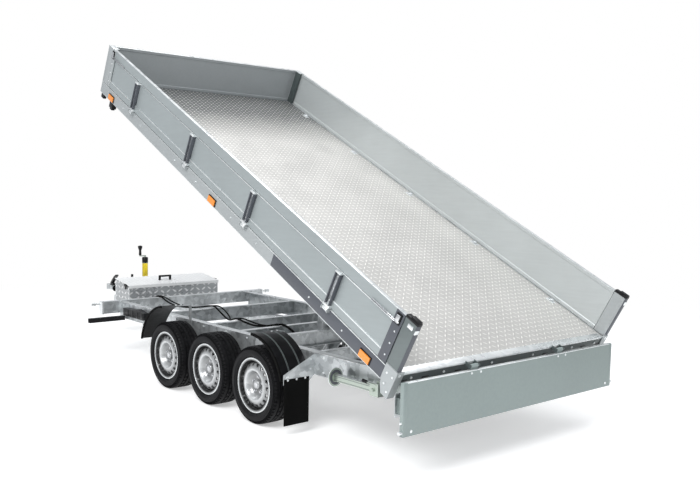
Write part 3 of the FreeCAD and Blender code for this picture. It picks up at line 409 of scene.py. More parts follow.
def lathe(outline, steps, sweep=360.0, first=0.0):
    """A line of (place along Y, radius) points carried round the Y axis."""
    alone()
    bpy.ops.mesh.primitive_plane_add(size=0.01)
    made = bpy.context.object
    bpy.ops.object.mode_set(mode="EDIT")
    bpy.ops.mesh.select_mode(type="VERT")
    bpy.ops.mesh.select_all(action="SELECT")
    bpy.ops.mesh.merge(type="CENTER")
    here = Vector((outline[0][1], outline[0][0], 0.0))
    bpy.ops.transform.translate(value=here)
    for along, radius in outline[1:]:
        there = Vector((radius, along, 0.0))
        bpy.ops.mesh.extrude_vertices_move(TRANSFORM_OT_translate={"value": there - here})
        here = there
    bpy.ops.mesh.select_all(action="SELECT")
    bpy.ops.mesh.spin(steps=steps, angle=math.radians(sweep), center=(0, 0, 0), axis=(0, 1, 0))
    bpy.ops.mesh.select_all(action="SELECT")
    bpy.ops.mesh.remove_doubles(threshold=0.00002)
    bpy.ops.mesh.fill_holes(sides=0)
    bpy.ops.mesh.select_all(action="SELECT")
    bpy.ops.mesh.normals_make_consistent(inside=False)
    bpy.ops.object.mode_set(mode="OBJECT")
    made.matrix_world = Matrix.Rotation(-math.radians(first), 4, "Y")
    return made


def moved(made, place):
    made.matrix_world = place @ made.matrix_world
    return made


def pipe(points, radius, place=AT_CHASSIS):
    """A fixed pipe or sheathed cable bent smoothly along its clips."""
    alone()
    bpy.ops.curve.primitive_nurbs_path_add(radius=1.0)
    made = bpy.context.object
    line = made.data.splines[0]
    line.points.add(max(0, len(points) - len(line.points)))
    for index, knot in enumerate(line.points):
        knot.co = (*points[min(index, len(points) - 1)], 1.0)
    line.order_u = 4
    line.use_endpoint_u = True
    made.data.bevel_depth = radius
    made.data.bevel_resolution = 4
    made.data.resolution_u = 6
    made.data.use_fill_caps = True
    bpy.ops.object.convert(target="MESH")
    made = bpy.context.object
    made.matrix_world = place
    return made


def piece(name, body, finish, parts, soft=0.0012, replaces=(), smooth=35.0):
    """Join the parts, round their edges, give them a finish and let them ride on a body."""
    alone(parts[0])
    for part in parts:
        part.select_set(True)
    bpy.ops.object.join()
    made = bpy.context.object
    made.name = name
    bpy.ops.object.transform_apply(location=True, rotation=True, scale=True)
    bpy.ops.object.mode_set(mode="EDIT")
    bpy.ops.mesh.select_all(action="SELECT")
    bpy.ops.mesh.normals_make_consistent(inside=False)
    bpy.ops.object.mode_set(mode="OBJECT")
    if soft:
        rounding = made.modifiers.new("rounded_edges", "BEVEL")
        rounding.width = soft
        rounding.segments = 2
        rounding.limit_method = "ANGLE"
        rounding.angle_limit = math.radians(40.0)
        bpy.ops.object.modifier_apply(modifier=rounding.name)
    bpy.ops.object.shade_smooth_by_angle(angle=math.radians(smooth))
    material, slot = FINISHES[finish]
    made.data.materials.clear()
    made.data.materials.append(material)
    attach(made, body)
    if replaces:
        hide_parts(*replaces)
    return made


def polished(node, body, finish, smooth=35.0):
    """The node's own shape with its triangles merged and its curves shaded smooth."""
    alone()
    made = NODES[node].copy()
    made.data = NODES[node].data.copy()
    bpy.context.scene.collection.objects.link(made)
    made.parent = None
    made.matrix_world = Matrix.Identity(4)
    made.hide_render = False
    alone(made)
    bpy.ops.object.mode_set(mode="EDIT")
    bpy.ops.mesh.select_all(action="SELECT")
    bpy.ops.mesh.remove_doubles(threshold=0.00001)
    bpy.ops.object.mode_set(mode="OBJECT")
    return piece(node + "_finished", body, finish, [made], 0.0, (node,), smooth)


# ------------------------------------------------------------------ wheels
BEAD, SHOULDER, TREAD = 0.0752, 0.0975, 0.2625
GROOVES = (0.016, 0.045)


def tyre_outline():
    """Half the tyre's section, from its inner bead to the middle of the tread, and its mirror image."""
    half = [(BEAD - 0.004, 0.1684), (BEAD, 0.1684), (BEAD, 0.187), (0.082, 0.192), (0.0865, 0.1955), (0.0895, 0.196),
            (0.0925, 0.201), (0.0950, 0.209), (0.0972, 0.2095), (SHOULDER, 0.217), (0.0970, 0.2255),
            (0.0955, 0.226), (0.0945, 0.2375), (0.0925, 0.2385), (0.0885, 0.2500), (0.0855, 0.2545),
            (0.0790, 0.2590), (0.0715, 0.2610)]
    for groove in sorted(GROOVES, reverse=True):
        half += [(groove + 0.0045, 0.2622), (groove + 0.0035, 0.2560), (groove - 0.0035, 0.2560),
                 (groove - 0.0045, TREAD)]
    return half + [(-along, radius) for along, radius in reversed(half)] + half[:1]


def ring_faces(made, near, far, low, high, every, keep_to):
    """Choose faces by their place across and their radius, some of every few round the wheel."""
    for vertex in made.data.vertices:
        vertex.select = False
    for edge in made.data.edges:
        edge.select = False
    for face in made.data.polygons:
        centre = face.center
        turn = math.degrees(math.atan2(centre.z, centre.x)) % 360.0
        step = int(turn / 3.0) % every
        radius = math.hypot(centre.x, centre.z)
        face.select = near < abs(centre.y) < far and low < radius < high and step in keep_to


def notch(made, thickness, depth):
    alone(made)
    bpy.ops.object.mode_set(mode="EDIT")
    bpy.ops.mesh.select_mode(type="FACE")
    bpy.ops.mesh.inset(thickness=thickness, depth=depth, use_individual=True)
    bpy.ops.object.mode_set(mode="OBJECT")


def tyre():
    made = lathe(tyre_outline(), 120)
    ring_faces(made, 0.0860, 0.0930, 0.2385, 0.2545, 2, (0,))
    notch(made, 0.0012, -0.0045)
    ring_faces(made, 0.0712, 0.0860, 0.2540, 0.2615, 2, (0,))
    notch(made, 0.0012, -0.0055)
    ring_faces(made, 0.020, 0.041, 0.2600, 0.2630, 3, (1,))
    notch(made, 0.0010, -0.0045)
    return made


def wheels():
    for index, place in enumerate(("rear", "middle", "front")):
        for side, sign in SIDES:
            name = place + "_" + side
            body = "wheel_" + name
            centre = Matrix.Translation((0.6 * index - 4.28, sign * 0.87, 0.2625 - 0.43))
            piece("tyre_" + name + "_treaded", body, "tyre", [moved(tyre(), centre)], 0.0, ("tyre_" + name,), 28.0)
            polished("rim_" + name, body, "rim", 32.0)
            heads = []
            for spoke in range(5):
                turn = math.radians(72.0 * spoke + 18.0)
                spot = Vector((0.056 * math.cos(turn), 0.0, 0.056 * math.sin(turn)))
                heads.append(rod(spot + Vector((0, sign * 0.0395, 0)), spot + Vector((0, sign * 0.052, 0)), 0.0095,
                                 centre, 6))
                heads.append(rod(spot + Vector((0, sign * 0.0395, 0)), spot + Vector((0, sign * 0.0425, 0)), 0.0135,
                                 centre))
            heads.append(rod((0, sign * 0.059, 0), (0, sign * 0.0625, 0), 0.020, centre, 32))
            piece("wheel_bolts_" + name, body, "chrome", heads, 0.0008)
            lip = [moved(lathe([(sign * 0.0785, 0.1790), (sign * 0.0835, 0.1800), (sign * 0.0838, 0.1838),
                                (sign * 0.0820, 0.1862), (sign * 0.0785, 0.1862),
                                (sign * 0.0785, 0.1790)], 96), centre)]
            piece("rim_lip_" + name, body, "bright", lip, 0.0, (), 30.0)


# ------------------------------------------------------------------ bed
BED_LONG, BED_HALF = 4.06, 1.005
STRAPS = (0.64, 1.60, 2.46, 3.42)


def bed_side(side, s):
    def low_high(u0, y0, v0, u1, y1, v1):
        return slab((u0, s * y0, v0), (u1, s * y1, v1), AT_BED)

    band = [low_high(0.0925, BED_HALF, 0.0645, 1.235, 1.0064, 0.1455), low_high(-0.0018, 0.9785, 0.172, 0.005, 1.0074, 0.474)]
    piece("slate_band_" + side, "bed", "slate", band, 0.0006)
    piece("post_face_" + side, "bed", "post", [low_high(0.0056, 1.0, 0.172, 0.0925, 1.0072, 0.474)], 0.0015)
    # painted highlight: thin bright strips on the frame's top face and lower edge
    piece("frame_edge_highlights_" + side, "bed", "bright", [low_high(0.0925, 0.956, 0.1465, 4.06, 1.0068, 0.1512),
                                                  low_high(0.0925, 0.990, 0.0590, 4.06, 1.0062, 0.0625)], 0.0006)
    cap = [low_high(-0.003, 0.977, 0.4635, 0.0955, 1.0095, 0.4815), low_high(-0.001, 0.979, 0.480, 0.062, 1.0075, 0.4895)]
    cap += [low_high(3.838, 0.940, -0.012, 3.902, 0.980, 0.0595), low_high(3.850, 0.945, -0.026, 3.890, 0.975, -0.010),
            low_high(3.985, 0.975, 0.020, 4.035, 1.003, 0.0595)]
    piece("post_caps_" + side, "bed", "plastic", cap, 0.003)
    bolts = [rod((u, s * 1.006, v), (u, s * 1.0125, v), 0.0075, AT_BED, 6)
             for u, v in ((0.014, 0.03), (0.052, 0.06), (0.06, 0.125), (0.014, 0.125))]
    bolts += [rod((u, s * 1.004, 0.105), (u, s * 1.0105, 0.105), 0.0065, AT_BED, 6)
              for u in (0.47, 0.81, 1.43, 1.77, 2.29, 2.63, 3.25, 3.59)]
    bolts.append(rod((-0.0075, s * 0.985, 0.147), (0.010, s * 0.985, 0.147), 0.009, AT_BED))
    hook = [low_high(-0.0042, 0.984, 0.415, 0.0010, 1.0110, 0.440), low_high(0.018, 1.006, 0.425, 0.058, 1.0135, 0.447)]
    piece("frame_bolts_" + side, "bed", "bright", bolts + hook, 0.0008)
    base = [low_high(u - 0.052, BED_HALF, 0.064, u + 0.052, 1.0105, 0.118) for u in (0.243, BED_LONG / 2, 3.827)]
    piece("marker_bases_" + side, "bed", "plastic", base, 0.002)
    eyes, plates = [], []
    for u in (0.45, 1.25, 2.05, 2.85, 3.65):
        plates.append(low_high(u - 0.034, 0.905, 0.1535, u + 0.034, 0.950, 0.1572))
        plates.append(low_high(u - 0.008, 0.905, 0.1560, u + 0.008, 0.950, 0.1635))
        eyes.append(ring((u, s * 0.925, 0.1632), "z", 0.020, 0.0036, AT_BED))
    piece("lashing_plates_" + side, "bed", "bright", plates, 0.0012)
    piece("lashing_rings_" + side, "bed", "zinc", eyes, 0.0)


def board_side(side, s):
    body = "side_board_" + side

    def low_high(u0, y0, v0, u1, y1, v1):
        return slab((u0, s * y0, v0), (u1, s * y1, v1), AT_BED)

    strip = [low_high(0.0985, 1.001, 0.157, 0.165, 1.0092, 0.4665)]
    piece("front_strip_" + side, body, "frame", [low_high(3.910, 1.001, 0.157, 3.9615, 1.0092, 0.4665)], 0.002)
    dark, pale, lined = [], [], []
    for u in STRAPS:
        for edge in (-0.022, 0.015):
            dark.append(low_high(u + edge, BED_HALF - 0.006, 0.170, u + edge + 0.007, 1.027, 0.386))
        lined.append(low_high(u - 0.016, BED_HALF - 0.006, 0.170, u + 0.016, 1.0125, 0.386))
        pale.append(low_high(u - 0.024, BED_HALF - 0.006, 0.382, u + 0.024, 1.0278, 0.3935))
        pale.append(low_high(u - 0.030, BED_HALF, 0.158, u + 0.030, 1.0265, 0.176))
        pale.append(low_high(u - 0.022, 1.0148, 0.142, u + 0.022, 1.0232, 0.166))
        pale.append(rod((u - 0.022, s * 1.019, 0.142), (u + 0.022, s * 1.019, 0.142), 0.012, AT_BED, 28))
        for v in (0.20, 0.28, 0.36):
            pale.append(rod((u, s * 1.012, v), (u, s * 1.0165, v), 0.0055, AT_BED))
    piece("straps_" + side, body, "slate", strip + dark, 0.0012, ("board_fittings_" + side,))
    piece("strap_channels_" + side, body, "zinc", lined, 0.001)
    rivets = [rod((u, s * 1.0085, v), (u, s * 1.0122, v), 0.0055, AT_BED)
              for u in (0.122, 3.938) for v in (0.20, 0.275, 0.35)]
    # painted highlight: thin bright strips along the board's top edge and on its upward-facing steps
    rails = [low_high(0.0985, 0.9803, 0.4655, 3.9615, 1.0052, 0.4686), low_high(0.165, 0.9990, 0.2035, 3.910, 1.0058, 0.2090),
             low_high(0.165, 0.9900, 0.3890, 3.910, 1.0040, 0.3945)]
    piece("strap_feet_" + side, body, "bright", pale + rivets, 0.0012)
    piece("board_edge_highlights_" + side, body, "bright", rails, 0.0006)
    block, lever = [], []
    for u, way in ((0.130, 1), (3.936, -1)):
        block.append(low_high(u - 0.020, 1.009, 0.394, u + 0.020, 1.0165, 0.458))
        lever.append(low_high(u - 0.013, 1.0155, 0.404, u + 0.013, 1.0225, 0.449))
        lever.append(rod((u - 0.018, s * 1.0185, 0.410), (u + 0.018, s * 1.0185, 0.410), 0.0055, AT_BED))
        for v in (0.4085, 0.3995):
            lever.append(rod((u + way * 0.010, s * 1.0135, v), (u + way * 0.225, s * 1.0115, v), 0.0028, AT_BED, 12))
    piece("latch_blocks_" + side, body, "plastic", block, 0.002)
    piece("latch_levers_" + side, body, "chrome", lever, 0.001)


def bed_ends():
    sill = [slab((-0.0012, -0.954, 0.1440), (0.046, 0.954, 0.1562), AT_BED)]
    heads = [rod((-0.006, y, 0.118), (0.002, y, 0.118), 0.008, AT_BED, 6) for y in (-0.88, -0.62, -0.2, 0.2, 0.62, 0.88)]
    piece("sill_top", "bed", "bright", sill + heads, 0.0006)
    slots = [slab((-0.0014, y - 0.028, 0.098), (0.002, y + 0.028, 0.108), AT_BED)
             for y in (-0.93, -0.76, -0.49, -0.34, 0.34, 0.49, 0.76, 0.93)]
    piece("sill_slots", "bed", "plastic", slots, 0.0005)
    # painted highlight: thin bright strips on the top faces of the headboard and front posts
    edge = BED_LONG - 0.025
    caps = [slab((edge - 0.0006, -0.954, 0.4660), (BED_LONG + 0.0006, 0.954, 0.4688), AT_BED)]
    for s in (1, -1):
        caps.append(slab((BED_LONG - 0.094, s * 0.953, 0.4660), (BED_LONG + 0.001, s * 1.0068, 0.4690), AT_BED))
    piece("head_edge_highlights", "bed", "bright", caps, 0.0006)
    posts = [slab((BED_LONG - 0.0935, s * 1.004, 0.158), (BED_LONG, s * 1.0058, 0.467), AT_BED) for s in (1, -1)]
    piece("front_post_faces", "bed", "frame", posts, 0.001)
    inner = [slab((BED_LONG - 0.0950, s * 0.9535, 0.158), (BED_LONG - 0.0930, s * 0.9795, 0.467), AT_BED) for s in (1, -1)]
    inner += [slab((BED_LONG - 0.0940, s * 0.9535, 0.158), (BED_LONG - 0.0260, s * 0.9555, 0.467), AT_BED) for s in (1, -1)]
    piece("front_post_inner", "bed", "sill", inner, 0.0006)


def gate():
    ends, pale = [], []
    for s in (1, -1):
        ends.append(slab((-0.0228, s * 0.966, -0.3115), (0.0056, s * 0.9985, -0.0190), AT_GATE))
        pale.append(rod((-0.0235, s * 0.935, -0.285), (-0.0200, s * 0.935, -0.285), 0.009, AT_GATE))
        pale.append(rod((-0.0100, s * 0.9970, -0.287), (-0.0100, s * 1.0180, -0.287), 0.010, AT_GATE))
        pale.append(rod((-0.0100, s * 0.9970, -0.235), (-0.0100, s * 1.0080, -0.235), 0.007, AT_GATE, 6))
        for y in (0.375, 0.455):
            pale.append(rod((-0.0240, s * y, -0.035), (-0.0200, s * y, -0.035), 0.008, AT_GATE, 6))
    piece("gate_ends", "tailgate", "gate", ends, 0.007)
    pale.append(slab((-0.0216, -0.966, -0.0235), (0.0046, 0.966, -0.0190), AT_GATE))
    piece("gate_trim", "tailgate", "bright", pale, 0.0008)


# ------------------------------------------------------------------ chassis
def guard_side(side, s):
    edges, ribs, bolts = [], [], []
    for place, middle, radius, inner, first, sweep in (("front", 1.2, 0.387, 0.775, 12.0, 72.0),
                                                       ("rear", 0.0, 0.355, 0.745, 90.0, 74.0)):
        centre = AT_CHASSIS @ Matrix.Translation((middle, 0.0, 0.2625))
        edges.append(moved(lathe([(s * 0.9665, radius - 0.014), (s * 0.9665, radius + 0.0012),
                                  (s * 0.9725, radius + 0.0030), (s * 0.9785, radius - 0.0006),
                                  (s * 0.9785, radius - 0.0145), (s * 0.9665, radius - 0.014)], 32, sweep, first),
                           centre))
        # painted highlight: the raised guard ribs and inner strip are coloured grey over the black guard
        for along in (inner + 0.055, inner + 0.062, inner + 0.150, inner + 0.157):
            ribs.append(moved(lathe([(s * along, radius - 0.002), (s * (along + 0.0008), radius + 0.0022),
                                     (s * (along + 0.0030), radius + 0.0022), (s * (along + 0.0038), radius - 0.002),
                                     (s * along, radius - 0.002)], 32, sweep, first), centre))
        ribs.append(moved(lathe([(s * inner, radius - 0.002), (s * inner, radius + 0.0014),
                                 (s * (inner + 0.022), radius + 0.0014), (s * (inner + 0.022), radius - 0.002),
                                 (s * inner, radius - 0.002)], 6, 9.0, 90.0 if place == "rear" else 75.0), centre))
        for across in (inner + 0.03, inner + 0.075):
            shift = -0.022 if place == "rear" else 0.022
            up = 0.2625 + math.sqrt(radius ** 2 - shift ** 2)
            bolts.append(rod((middle + shift, s * across, up - 0.004), (middle + shift, s * across, up + 0.006), 0.0085,
                             AT_CHASSIS, 6))
    piece("guard_edges_" + side, "chassis", "rubber", edges, 0.0, (), 40.0)
    piece("guard_rib_highlights_" + side, "chassis", "post", ribs, 0.0, (), 40.0)
    for y, z in ((0.755, 0.480), (0.755, 0.420), (0.80, 0.365), (0.87, 0.365), (0.94, 0.365), (0.94, 0.388)):
        bolts.append(rod((-0.366, s * y, z), (-0.358, s * y, z), 0.008, AT_CHASSIS, 6))
    for x in (-0.96, -0.66, -0.45, -0.18, 0.12, 0.42, 0.72, 1.02, 1.45, 1.75, 2.05, 2.42):
        for z in (0.400, 0.495):
            bolts.append(rod((x, s * 0.719, z), (x, s * 0.7265, z), 0.008, AT_CHASSIS, 6))
    piece("chassis_bolts_" + side, "chassis", "bright", bolts, 0.0008)
    # painted highlight: thin bright strips on the rails' top flanges and lower flange edge
    flange = [slab((-1.08, s * 0.6595, 0.5185), (2.5, s * 0.7206, 0.5212)),
              slab((-1.08, s * 0.7150, 0.3745), (2.5, s * 0.7225, 0.3795))]
    piece("rail_edge_highlights_" + side, "chassis", "bright", flange, 0.0006)
    lenses = [slab((-1.1925, s * y, 0.306), (-1.186, s * (y + 0.070), 0.389)) for y in (0.540,)]
    piece("lamp_amber_" + side, "chassis", "amber", lenses, 0.004)
    lenses = [slab((-1.1925, s * y, 0.306), (-1.186, s * (y + 0.068), 0.389)) for y in (0.614, 0.688)]
    piece("lamp_red_" + side, "chassis", "red", lenses, 0.004)
    chock = [slab((1.95 + 0.09 * k, s * 0.7715, 0.425), (1.985 + 0.09 * k, s * 0.7745, 0.478)) for k in range(4)]
    chock.append(slab((1.937, s * 0.719, 0.445), (2.332, s * 0.7742, 0.452)))
    piece("chock_ribs_" + side, "chassis", "plastic", chock, 0.001)


def leg_side(side, s):
    body = "leg_" + side
    x0, up = -0.665, 0.425
    grooves = [slab((-1.00, s * (0.8195), up + dz), (-0.67, s * 0.8212, up + dz + 0.0028)) for dz in (-0.0135, 0.0105)]
    grooves += [slab((-1.00, s * (0.80 + dy), up + 0.0195), (-0.67, s * (0.80 + dy + 0.0025), up + 0.0211))
                for dy in (-0.012, 0.010)]
    face = lathe([(0.0, 0.030), (0.0, 0.047), (0.0022, 0.047), (0.0022, 0.030), (0.0, 0.030)], 48)
    turn = Matrix.Translation((x0, s * 0.80, up)) @ Matrix.Rotation(math.pi / 2, 4, "Z")
    piece("leg_dark_" + side, body, "slate", grooves + [moved(face, AT_CHASSIS @ turn)], 0.0004)
    rim = ring((x0 + 0.004, s * 0.80, up), "x", 0.0565, 0.0032)
    piece("leg_rim_" + side, body, "bright", [rim, slab((-0.99, s * 0.784, up + 0.0196), (-0.672, s * 0.816, up + 0.0206))],
          0.0004)
    mount = [slab((-1.062, s * 0.775, up - 0.030), (-1.070, s * 0.825, up + 0.030)),
             rod((-1.03, s * 0.831, up), (-1.03, s * 0.842, up), 0.011, AT_CHASSIS, 6),
             rod((-1.055, s * 0.829, up + 0.028), (-0.985, s * 0.842, up + 0.040), 0.005)]
    piece("leg_mount_bits_" + side, "chassis", "leg", mount, 0.001)
    knob = [rod((-0.988, s * 0.841, up + 0.0395), (-0.955, s * 0.847, up + 0.045), 0.010)]
    piece("leg_knob_" + side, "chassis", "plastic", knob, 0.003)


def coupling_and_jockey():
    x, y = 3.862, -0.232
    band = lathe([(0.0, 0.0302), (0.0, 0.0316), (0.150, 0.0316), (0.150, 0.0302), (0.0, 0.0302)], 48)
    up = Matrix.Rotation(math.pi / 2, 4, "X")
    piece("jockey_band", "chassis", "yellow", [moved(band, AT_CHASSIS @ Matrix.Translation((x, y, 0.580)) @ up)], 0.0004)
    cap = lathe([(0.0, 0.0302), (0.0, 0.033), (0.052, 0.034), (0.062, 0.030), (0.065, 0.020), (0.066, 0.0005),
                 (0.0556, 0.0005), (0.0556, 0.0302), (0.0, 0.0302)], 48)
    dark = [moved(cap, AT_CHASSIS @ Matrix.Translation((x, y, 0.735)) @ up)]
    knob = lathe([(0.0, 0.0005), (0.0, 0.012), (0.010, 0.0160), (0.055, 0.013), (0.085, 0.024), (0.106, 0.025),
                  (0.112, 0.0005)], 32)
    dark.append(moved(knob, AT_CHASSIS @ Matrix.Translation((x, y + 0.06, 0.820)) @ up))
    piece("jockey_cap_and_knob", "chassis", "plastic", dark, 0.0, (), 40.0)
    collar = [ring((x, y, z), "z", 0.0305, 0.0028) for z in (0.50, 0.56)]
    collar += [rod((x - 0.05, y, 0.41), (x - 0.115, y, 0.41), 0.007), rod((x - 0.105, y - 0.035, 0.41),
                                                                      (x - 0.105, y + 0.035, 0.41), 0.005)]
    piece("jockey_clamp_screw", "chassis", "bright", collar, 0.0008)
    bolts = [rod((u, w, 0.384), (u, w, 0.396), 0.011, AT_CHASSIS, 6) for u in (3.65, 3.90) for w in (-0.075, 0.075)]
    bolts += [rod((u, s * 0.031, 0.43), (u, s * 0.040, 0.43), 0.010, AT_CHASSIS, 6) for u in (3.64, 3.92) for s in (1, -1)]
    piece("housing_bolts", "chassis", "bright", bolts, 0.001)
    folds = [ring((4.028 + 0.014 * k, 0.0, 0.43), "x", 0.0295, 0.0055) for k in range(9)]
    piece("bellows_folds", "chassis", "rubber", folds, 0.0)
    lever = [rod((3.70, 0.045, 0.45), (3.62, 0.050, 0.585), 0.008), rod((3.62, 0.050, 0.58), (3.61, 0.051, 0.64), 0.013)]
    piece("hand_brake_lever", "chassis", "plastic", lever, 0.003)


def toolbox():
    grip = [slab((2.877, -0.024, 0.679), (2.899, 0.114, 0.6975)), slab((2.878, -0.024, 0.640), (2.898, -0.003, 0.690)),
            slab((2.878, 0.093, 0.640), (2.898, 0.114, 0.690))]
    piece("lid_grip", "toolbox_lid", "plastic", grip, 0.005)
    latch = []
    for s in (1, -1):
        latch.append(slab((2.800, s * 0.5075, 0.612), (2.850, s * 0.516, 0.640)))
        latch.append(slab((2.812, s * 0.5075, 0.585), (2.838, s * 0.513, 0.618)))
    piece("lid_latches", "toolbox_lid", "plastic", latch, 0.003)
    edge = [slab((2.7572, -0.502, 0.373), (2.7602, 0.502, 0.380))]
    edge += [slab((2.7570, s * 0.4985, 0.373), (2.7640, s * 0.5022, 0.594)) for s in (1, -1)]
    edge += [slab((3.0560, s * 0.4985, 0.373), (3.0625, s * 0.5022, 0.630)) for s in (1, -1)]
    piece("box_edges", "toolbox", "bright", edge, 0.0006) if "toolbox" in frame["bodies"] else piece(
        "box_edges", "chassis", "bright", edge, 0.0006)


def pipes():
    line = [(-1.0, 0.640, 0.455), (-0.6, 0.640, 0.445), (-0.2, 0.640, 0.455), (0.3, 0.640, 0.440), (0.9, 0.640, 0.455),
            (1.5, 0.640, 0.445), (2.1, 0.640, 0.455), (2.44, 0.640, 0.452)]
    low = [(-0.95, 0.620, 0.400), (-0.55, 0.600, 0.375), (-0.15, 0.625, 0.410), (0.2, 0.610, 0.372), (0.7, 0.600, 0.385),
           (1.3, 0.625, 0.405), (2.0, 0.610, 0.375), (2.45, 0.620, 0.41)]
    # painted highlight: thin bright strips on the cross-members' top faces
    tops = [slab((x, -0.713, 0.5130), (x + 0.050, 0.713, 0.5150))
            for x in (-1.06, -0.76, -0.36, 0.265, 0.585, 0.975, 1.69)]
    tops.append(slab((2.5, -0.880, 0.5260), (2.56, 0.880, 0.5282)))
    piece("member_top_highlights", "chassis", "bright", tops, 0.0006)
    hose = [(0.46, 0.16, 0.39), (0.50, 0.22, 0.47), (0.56, 0.26, 0.524), (0.62, 0.28, 0.531), (0.72, 0.31, 0.502),
            (0.84, 0.36, 0.486), (0.94, 0.40, 0.516), (1.00, 0.41, 0.531), (1.08, 0.40, 0.520), (1.25, 0.33, 0.475),
            (1.45, 0.24, 0.466), (1.62, 0.20, 0.502), (1.70, 0.19, 0.530), (1.76, 0.19, 0.530), (1.90, 0.20, 0.500),
            (2.15, 0.26, 0.466), (2.36, 0.30, 0.490), (2.46, 0.30, 0.533), (2.53, 0.30, 0.541), (2.60, 0.30, 0.530),
            (2.68, 0.30, 0.480), (2.762, 0.30, 0.455)]
    second = [(x, y - 0.035 - 0.03 * math.sin(9.0 * x), z) for x, y, z in hose]
    piece("ram_hoses", "chassis", "rubber", [pipe(hose, 0.0075), pipe(second, 0.0060)], 0.0)
    piece("brake_pipe", "chassis", "plastic", [pipe(line, 0.006), pipe(low, 0.009)], 0.0)
    clips = [slab((x, 0.628, 0.430), (x + 0.018, 0.668, 0.470)) for x in (-0.98, -0.2, 0.62, 1.5, 2.4)]
    piece("pipe_clips", "chassis", "bright", clips, 0.002)
    pump = [rod((0.46, 0.32, 0.36), (0.46, 0.14, 0.36), 0.045), rod((0.46, 0.36, 0.36), (0.46, 0.31, 0.36), 0.030)]
    piece("ram_feed", "chassis", "slate", pump, 0.004)


wheels()
for side_name, sign_y in SIDES:
    bed_side(side_name, sign_y)
    board_side(side_name, sign_y)
    guard_side(side_name, sign_y)
    leg_side(side_name, sign_y)
bed_ends()
gate()
coupling_and_jockey()
toolbox()
pipes()
for node_name in ("mudguards", "ram_barrel", "ram_stage_1", "ram_stage_2", "ram_stage_3", "ram_rod"):
    polished(node_name, "chassis" if node_name == "mudguards" else node_name,
             {"mudguards": "plastic", "ram_barrel": "zinc"}.get(node_name, "chrome"))


# ------------------------------------------------------------------ floor, lights, camera
def whiten_floor(tree, base):
    """Seen directly, the floor glows a little by the trailer, which keeps its shadow, and is plain white far off."""
    add = tree.nodes.new
    where = add("ShaderNodeTexCoord")
    far = add("ShaderNodeVectorMath")
    far.operation = "DISTANCE"
    far.inputs[1].default_value = (-3.0, 0.0, 0.0)
    tree.links.new(where.outputs["Object"], far.inputs[0])
    fade = add("ShaderNodeMapRange")
    fade.interpolation_type = "SMOOTHSTEP"
    tree.links.new(far.outputs["Value"], fade.inputs["Value"])
    for socket, value in zip(fade.inputs[1:5], (3.6, 7.0, 0.0, 1.0)):
        socket.default_value = value
    path = add("ShaderNodeLightPath")
    seen = add("ShaderNodeMath")
    seen.operation = "MAXIMUM"
    tree.links.new(path.outputs["Is Camera Ray"], seen.inputs[0])
    tree.links.new(path.outputs["Is Glossy Ray"], seen.inputs[1])
    lift = add("ShaderNodeMath")
    lift.operation = "MULTIPLY"
    lift.inputs[1].default_value = 0.42
    tree.links.new(seen.outputs[0], lift.inputs[0])
    tree.links.new(lift.outputs[0], base.inputs["Emission Strength"])
    base.inputs["Emission Color"].default_value = (1.0, 1.0, 1.0, 1.0)
    share = add("ShaderNodeMath")
    share.operation = "MULTIPLY"
    tree.links.new(fade.outputs[0], share.inputs[0])
    tree.links.new(seen.outputs[0], share.inputs[1])
    white = add("ShaderNodeEmission")
    mix = add("ShaderNodeMixShader")
    tree.links.new(share.outputs[0], mix.inputs[0])
    tree.links.new(base.outputs[0], mix.inputs[1])
    tree.links.new(white.outputs[0], mix.inputs[2])
    tree.links.new(mix.outputs[0], tree.nodes["Material Output"].inputs["Surface"])


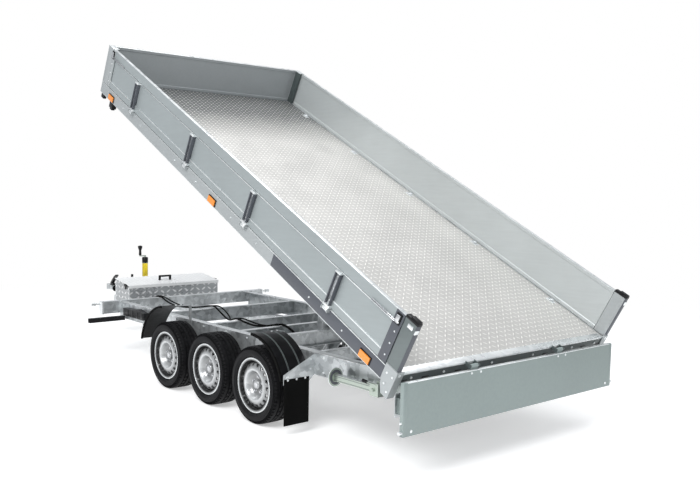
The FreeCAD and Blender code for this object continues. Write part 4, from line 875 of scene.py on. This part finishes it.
def studio():
    bpy.ops.object.select_all(action="DESELECT")
    bpy.ops.mesh.primitive_plane_add(size=120.0, location=(0.0, 0.0, GROUND))
    floor = bpy.context.object
    floor.name = "studio_floor"
    material = bpy.data.materials.new("studio_white")
    material.use_nodes = True
    tree = material.node_tree
    base = tree.nodes["Principled BSDF"]
    base.inputs["Base Color"].default_value = (0.80, 0.80, 0.80, 1.0)
    base.inputs["Roughness"].default_value = 0.95
    base.inputs["Specular IOR Level"].default_value = 0.0
    whiten_floor(tree, base)
    floor.data.materials.append(material)
    world = bpy.data.worlds.new("studio_sky")
    bpy.context.scene.world = world
    world.use_nodes = True
    sky = world.node_tree
    soft = sky.nodes["Background"]
    soft.inputs["Color"].default_value = (0.93, 0.96, 1.0, 1.0)
    soft.inputs["Strength"].default_value = 0.62
    bright = sky.nodes.new("ShaderNodeBackground")
    bright.inputs["Color"].default_value = (1.0, 1.0, 1.0, 1.0)
    bright.inputs["Strength"].default_value = 1.0
    path = sky.nodes.new("ShaderNodeLightPath")
    seen = sky.nodes.new("ShaderNodeMath")
    seen.operation = "MAXIMUM"
    sky.links.new(path.outputs["Is Camera Ray"], seen.inputs[0])
    sky.links.new(path.outputs["Is Transmission Ray"], seen.inputs[1])
    mix = sky.nodes.new("ShaderNodeMixShader")
    sky.links.new(seen.outputs[0], mix.inputs[0])
    sky.links.new(soft.outputs[0], mix.inputs[1])
    sky.links.new(bright.outputs[0], mix.inputs[2])
    sky.links.new(mix.outputs[0], sky.nodes["World Output"].inputs["Surface"])


def lamp(name, place, aim, size, power):
    data = bpy.data.lights.new(name, "AREA")
    data.shape = "DISK"
    data.size = size
    data.energy = power
    made = bpy.data.objects.new(name, data)
    bpy.context.scene.collection.objects.link(made)
    made.location = place
    made.rotation_euler = (Vector(aim) - Vector(place)).to_track_quat("-Z", "Y").to_euler()


def camera():
    data = bpy.data.cameras.new("photo_camera")
    data.lens = 40.98
    data.shift_x = 0.0581
    data.shift_y = 0.0319
    data.clip_end = 300.0
    made = bpy.data.objects.new("photo_camera", data)
    bpy.context.scene.collection.objects.link(made)
    made.location = (-8.5827, 3.9466, 1.1185)
    made.rotation_euler = tuple(math.radians(angle) for angle in (84.734, -0.854, -128.722))
    bpy.context.scene.camera = made


studio()
lamp("key_light", (-7.0, 6.5, 6.5), (-3.8, 0.0, 0.3), 5.0, 620.0)
lamp("top_light", (-3.0, -1.0, 8.0), (-3.5, 0.0, 0.5), 6.0, 330.0)
camera()
bpy.context.scene.view_settings.view_transform = "Standard"
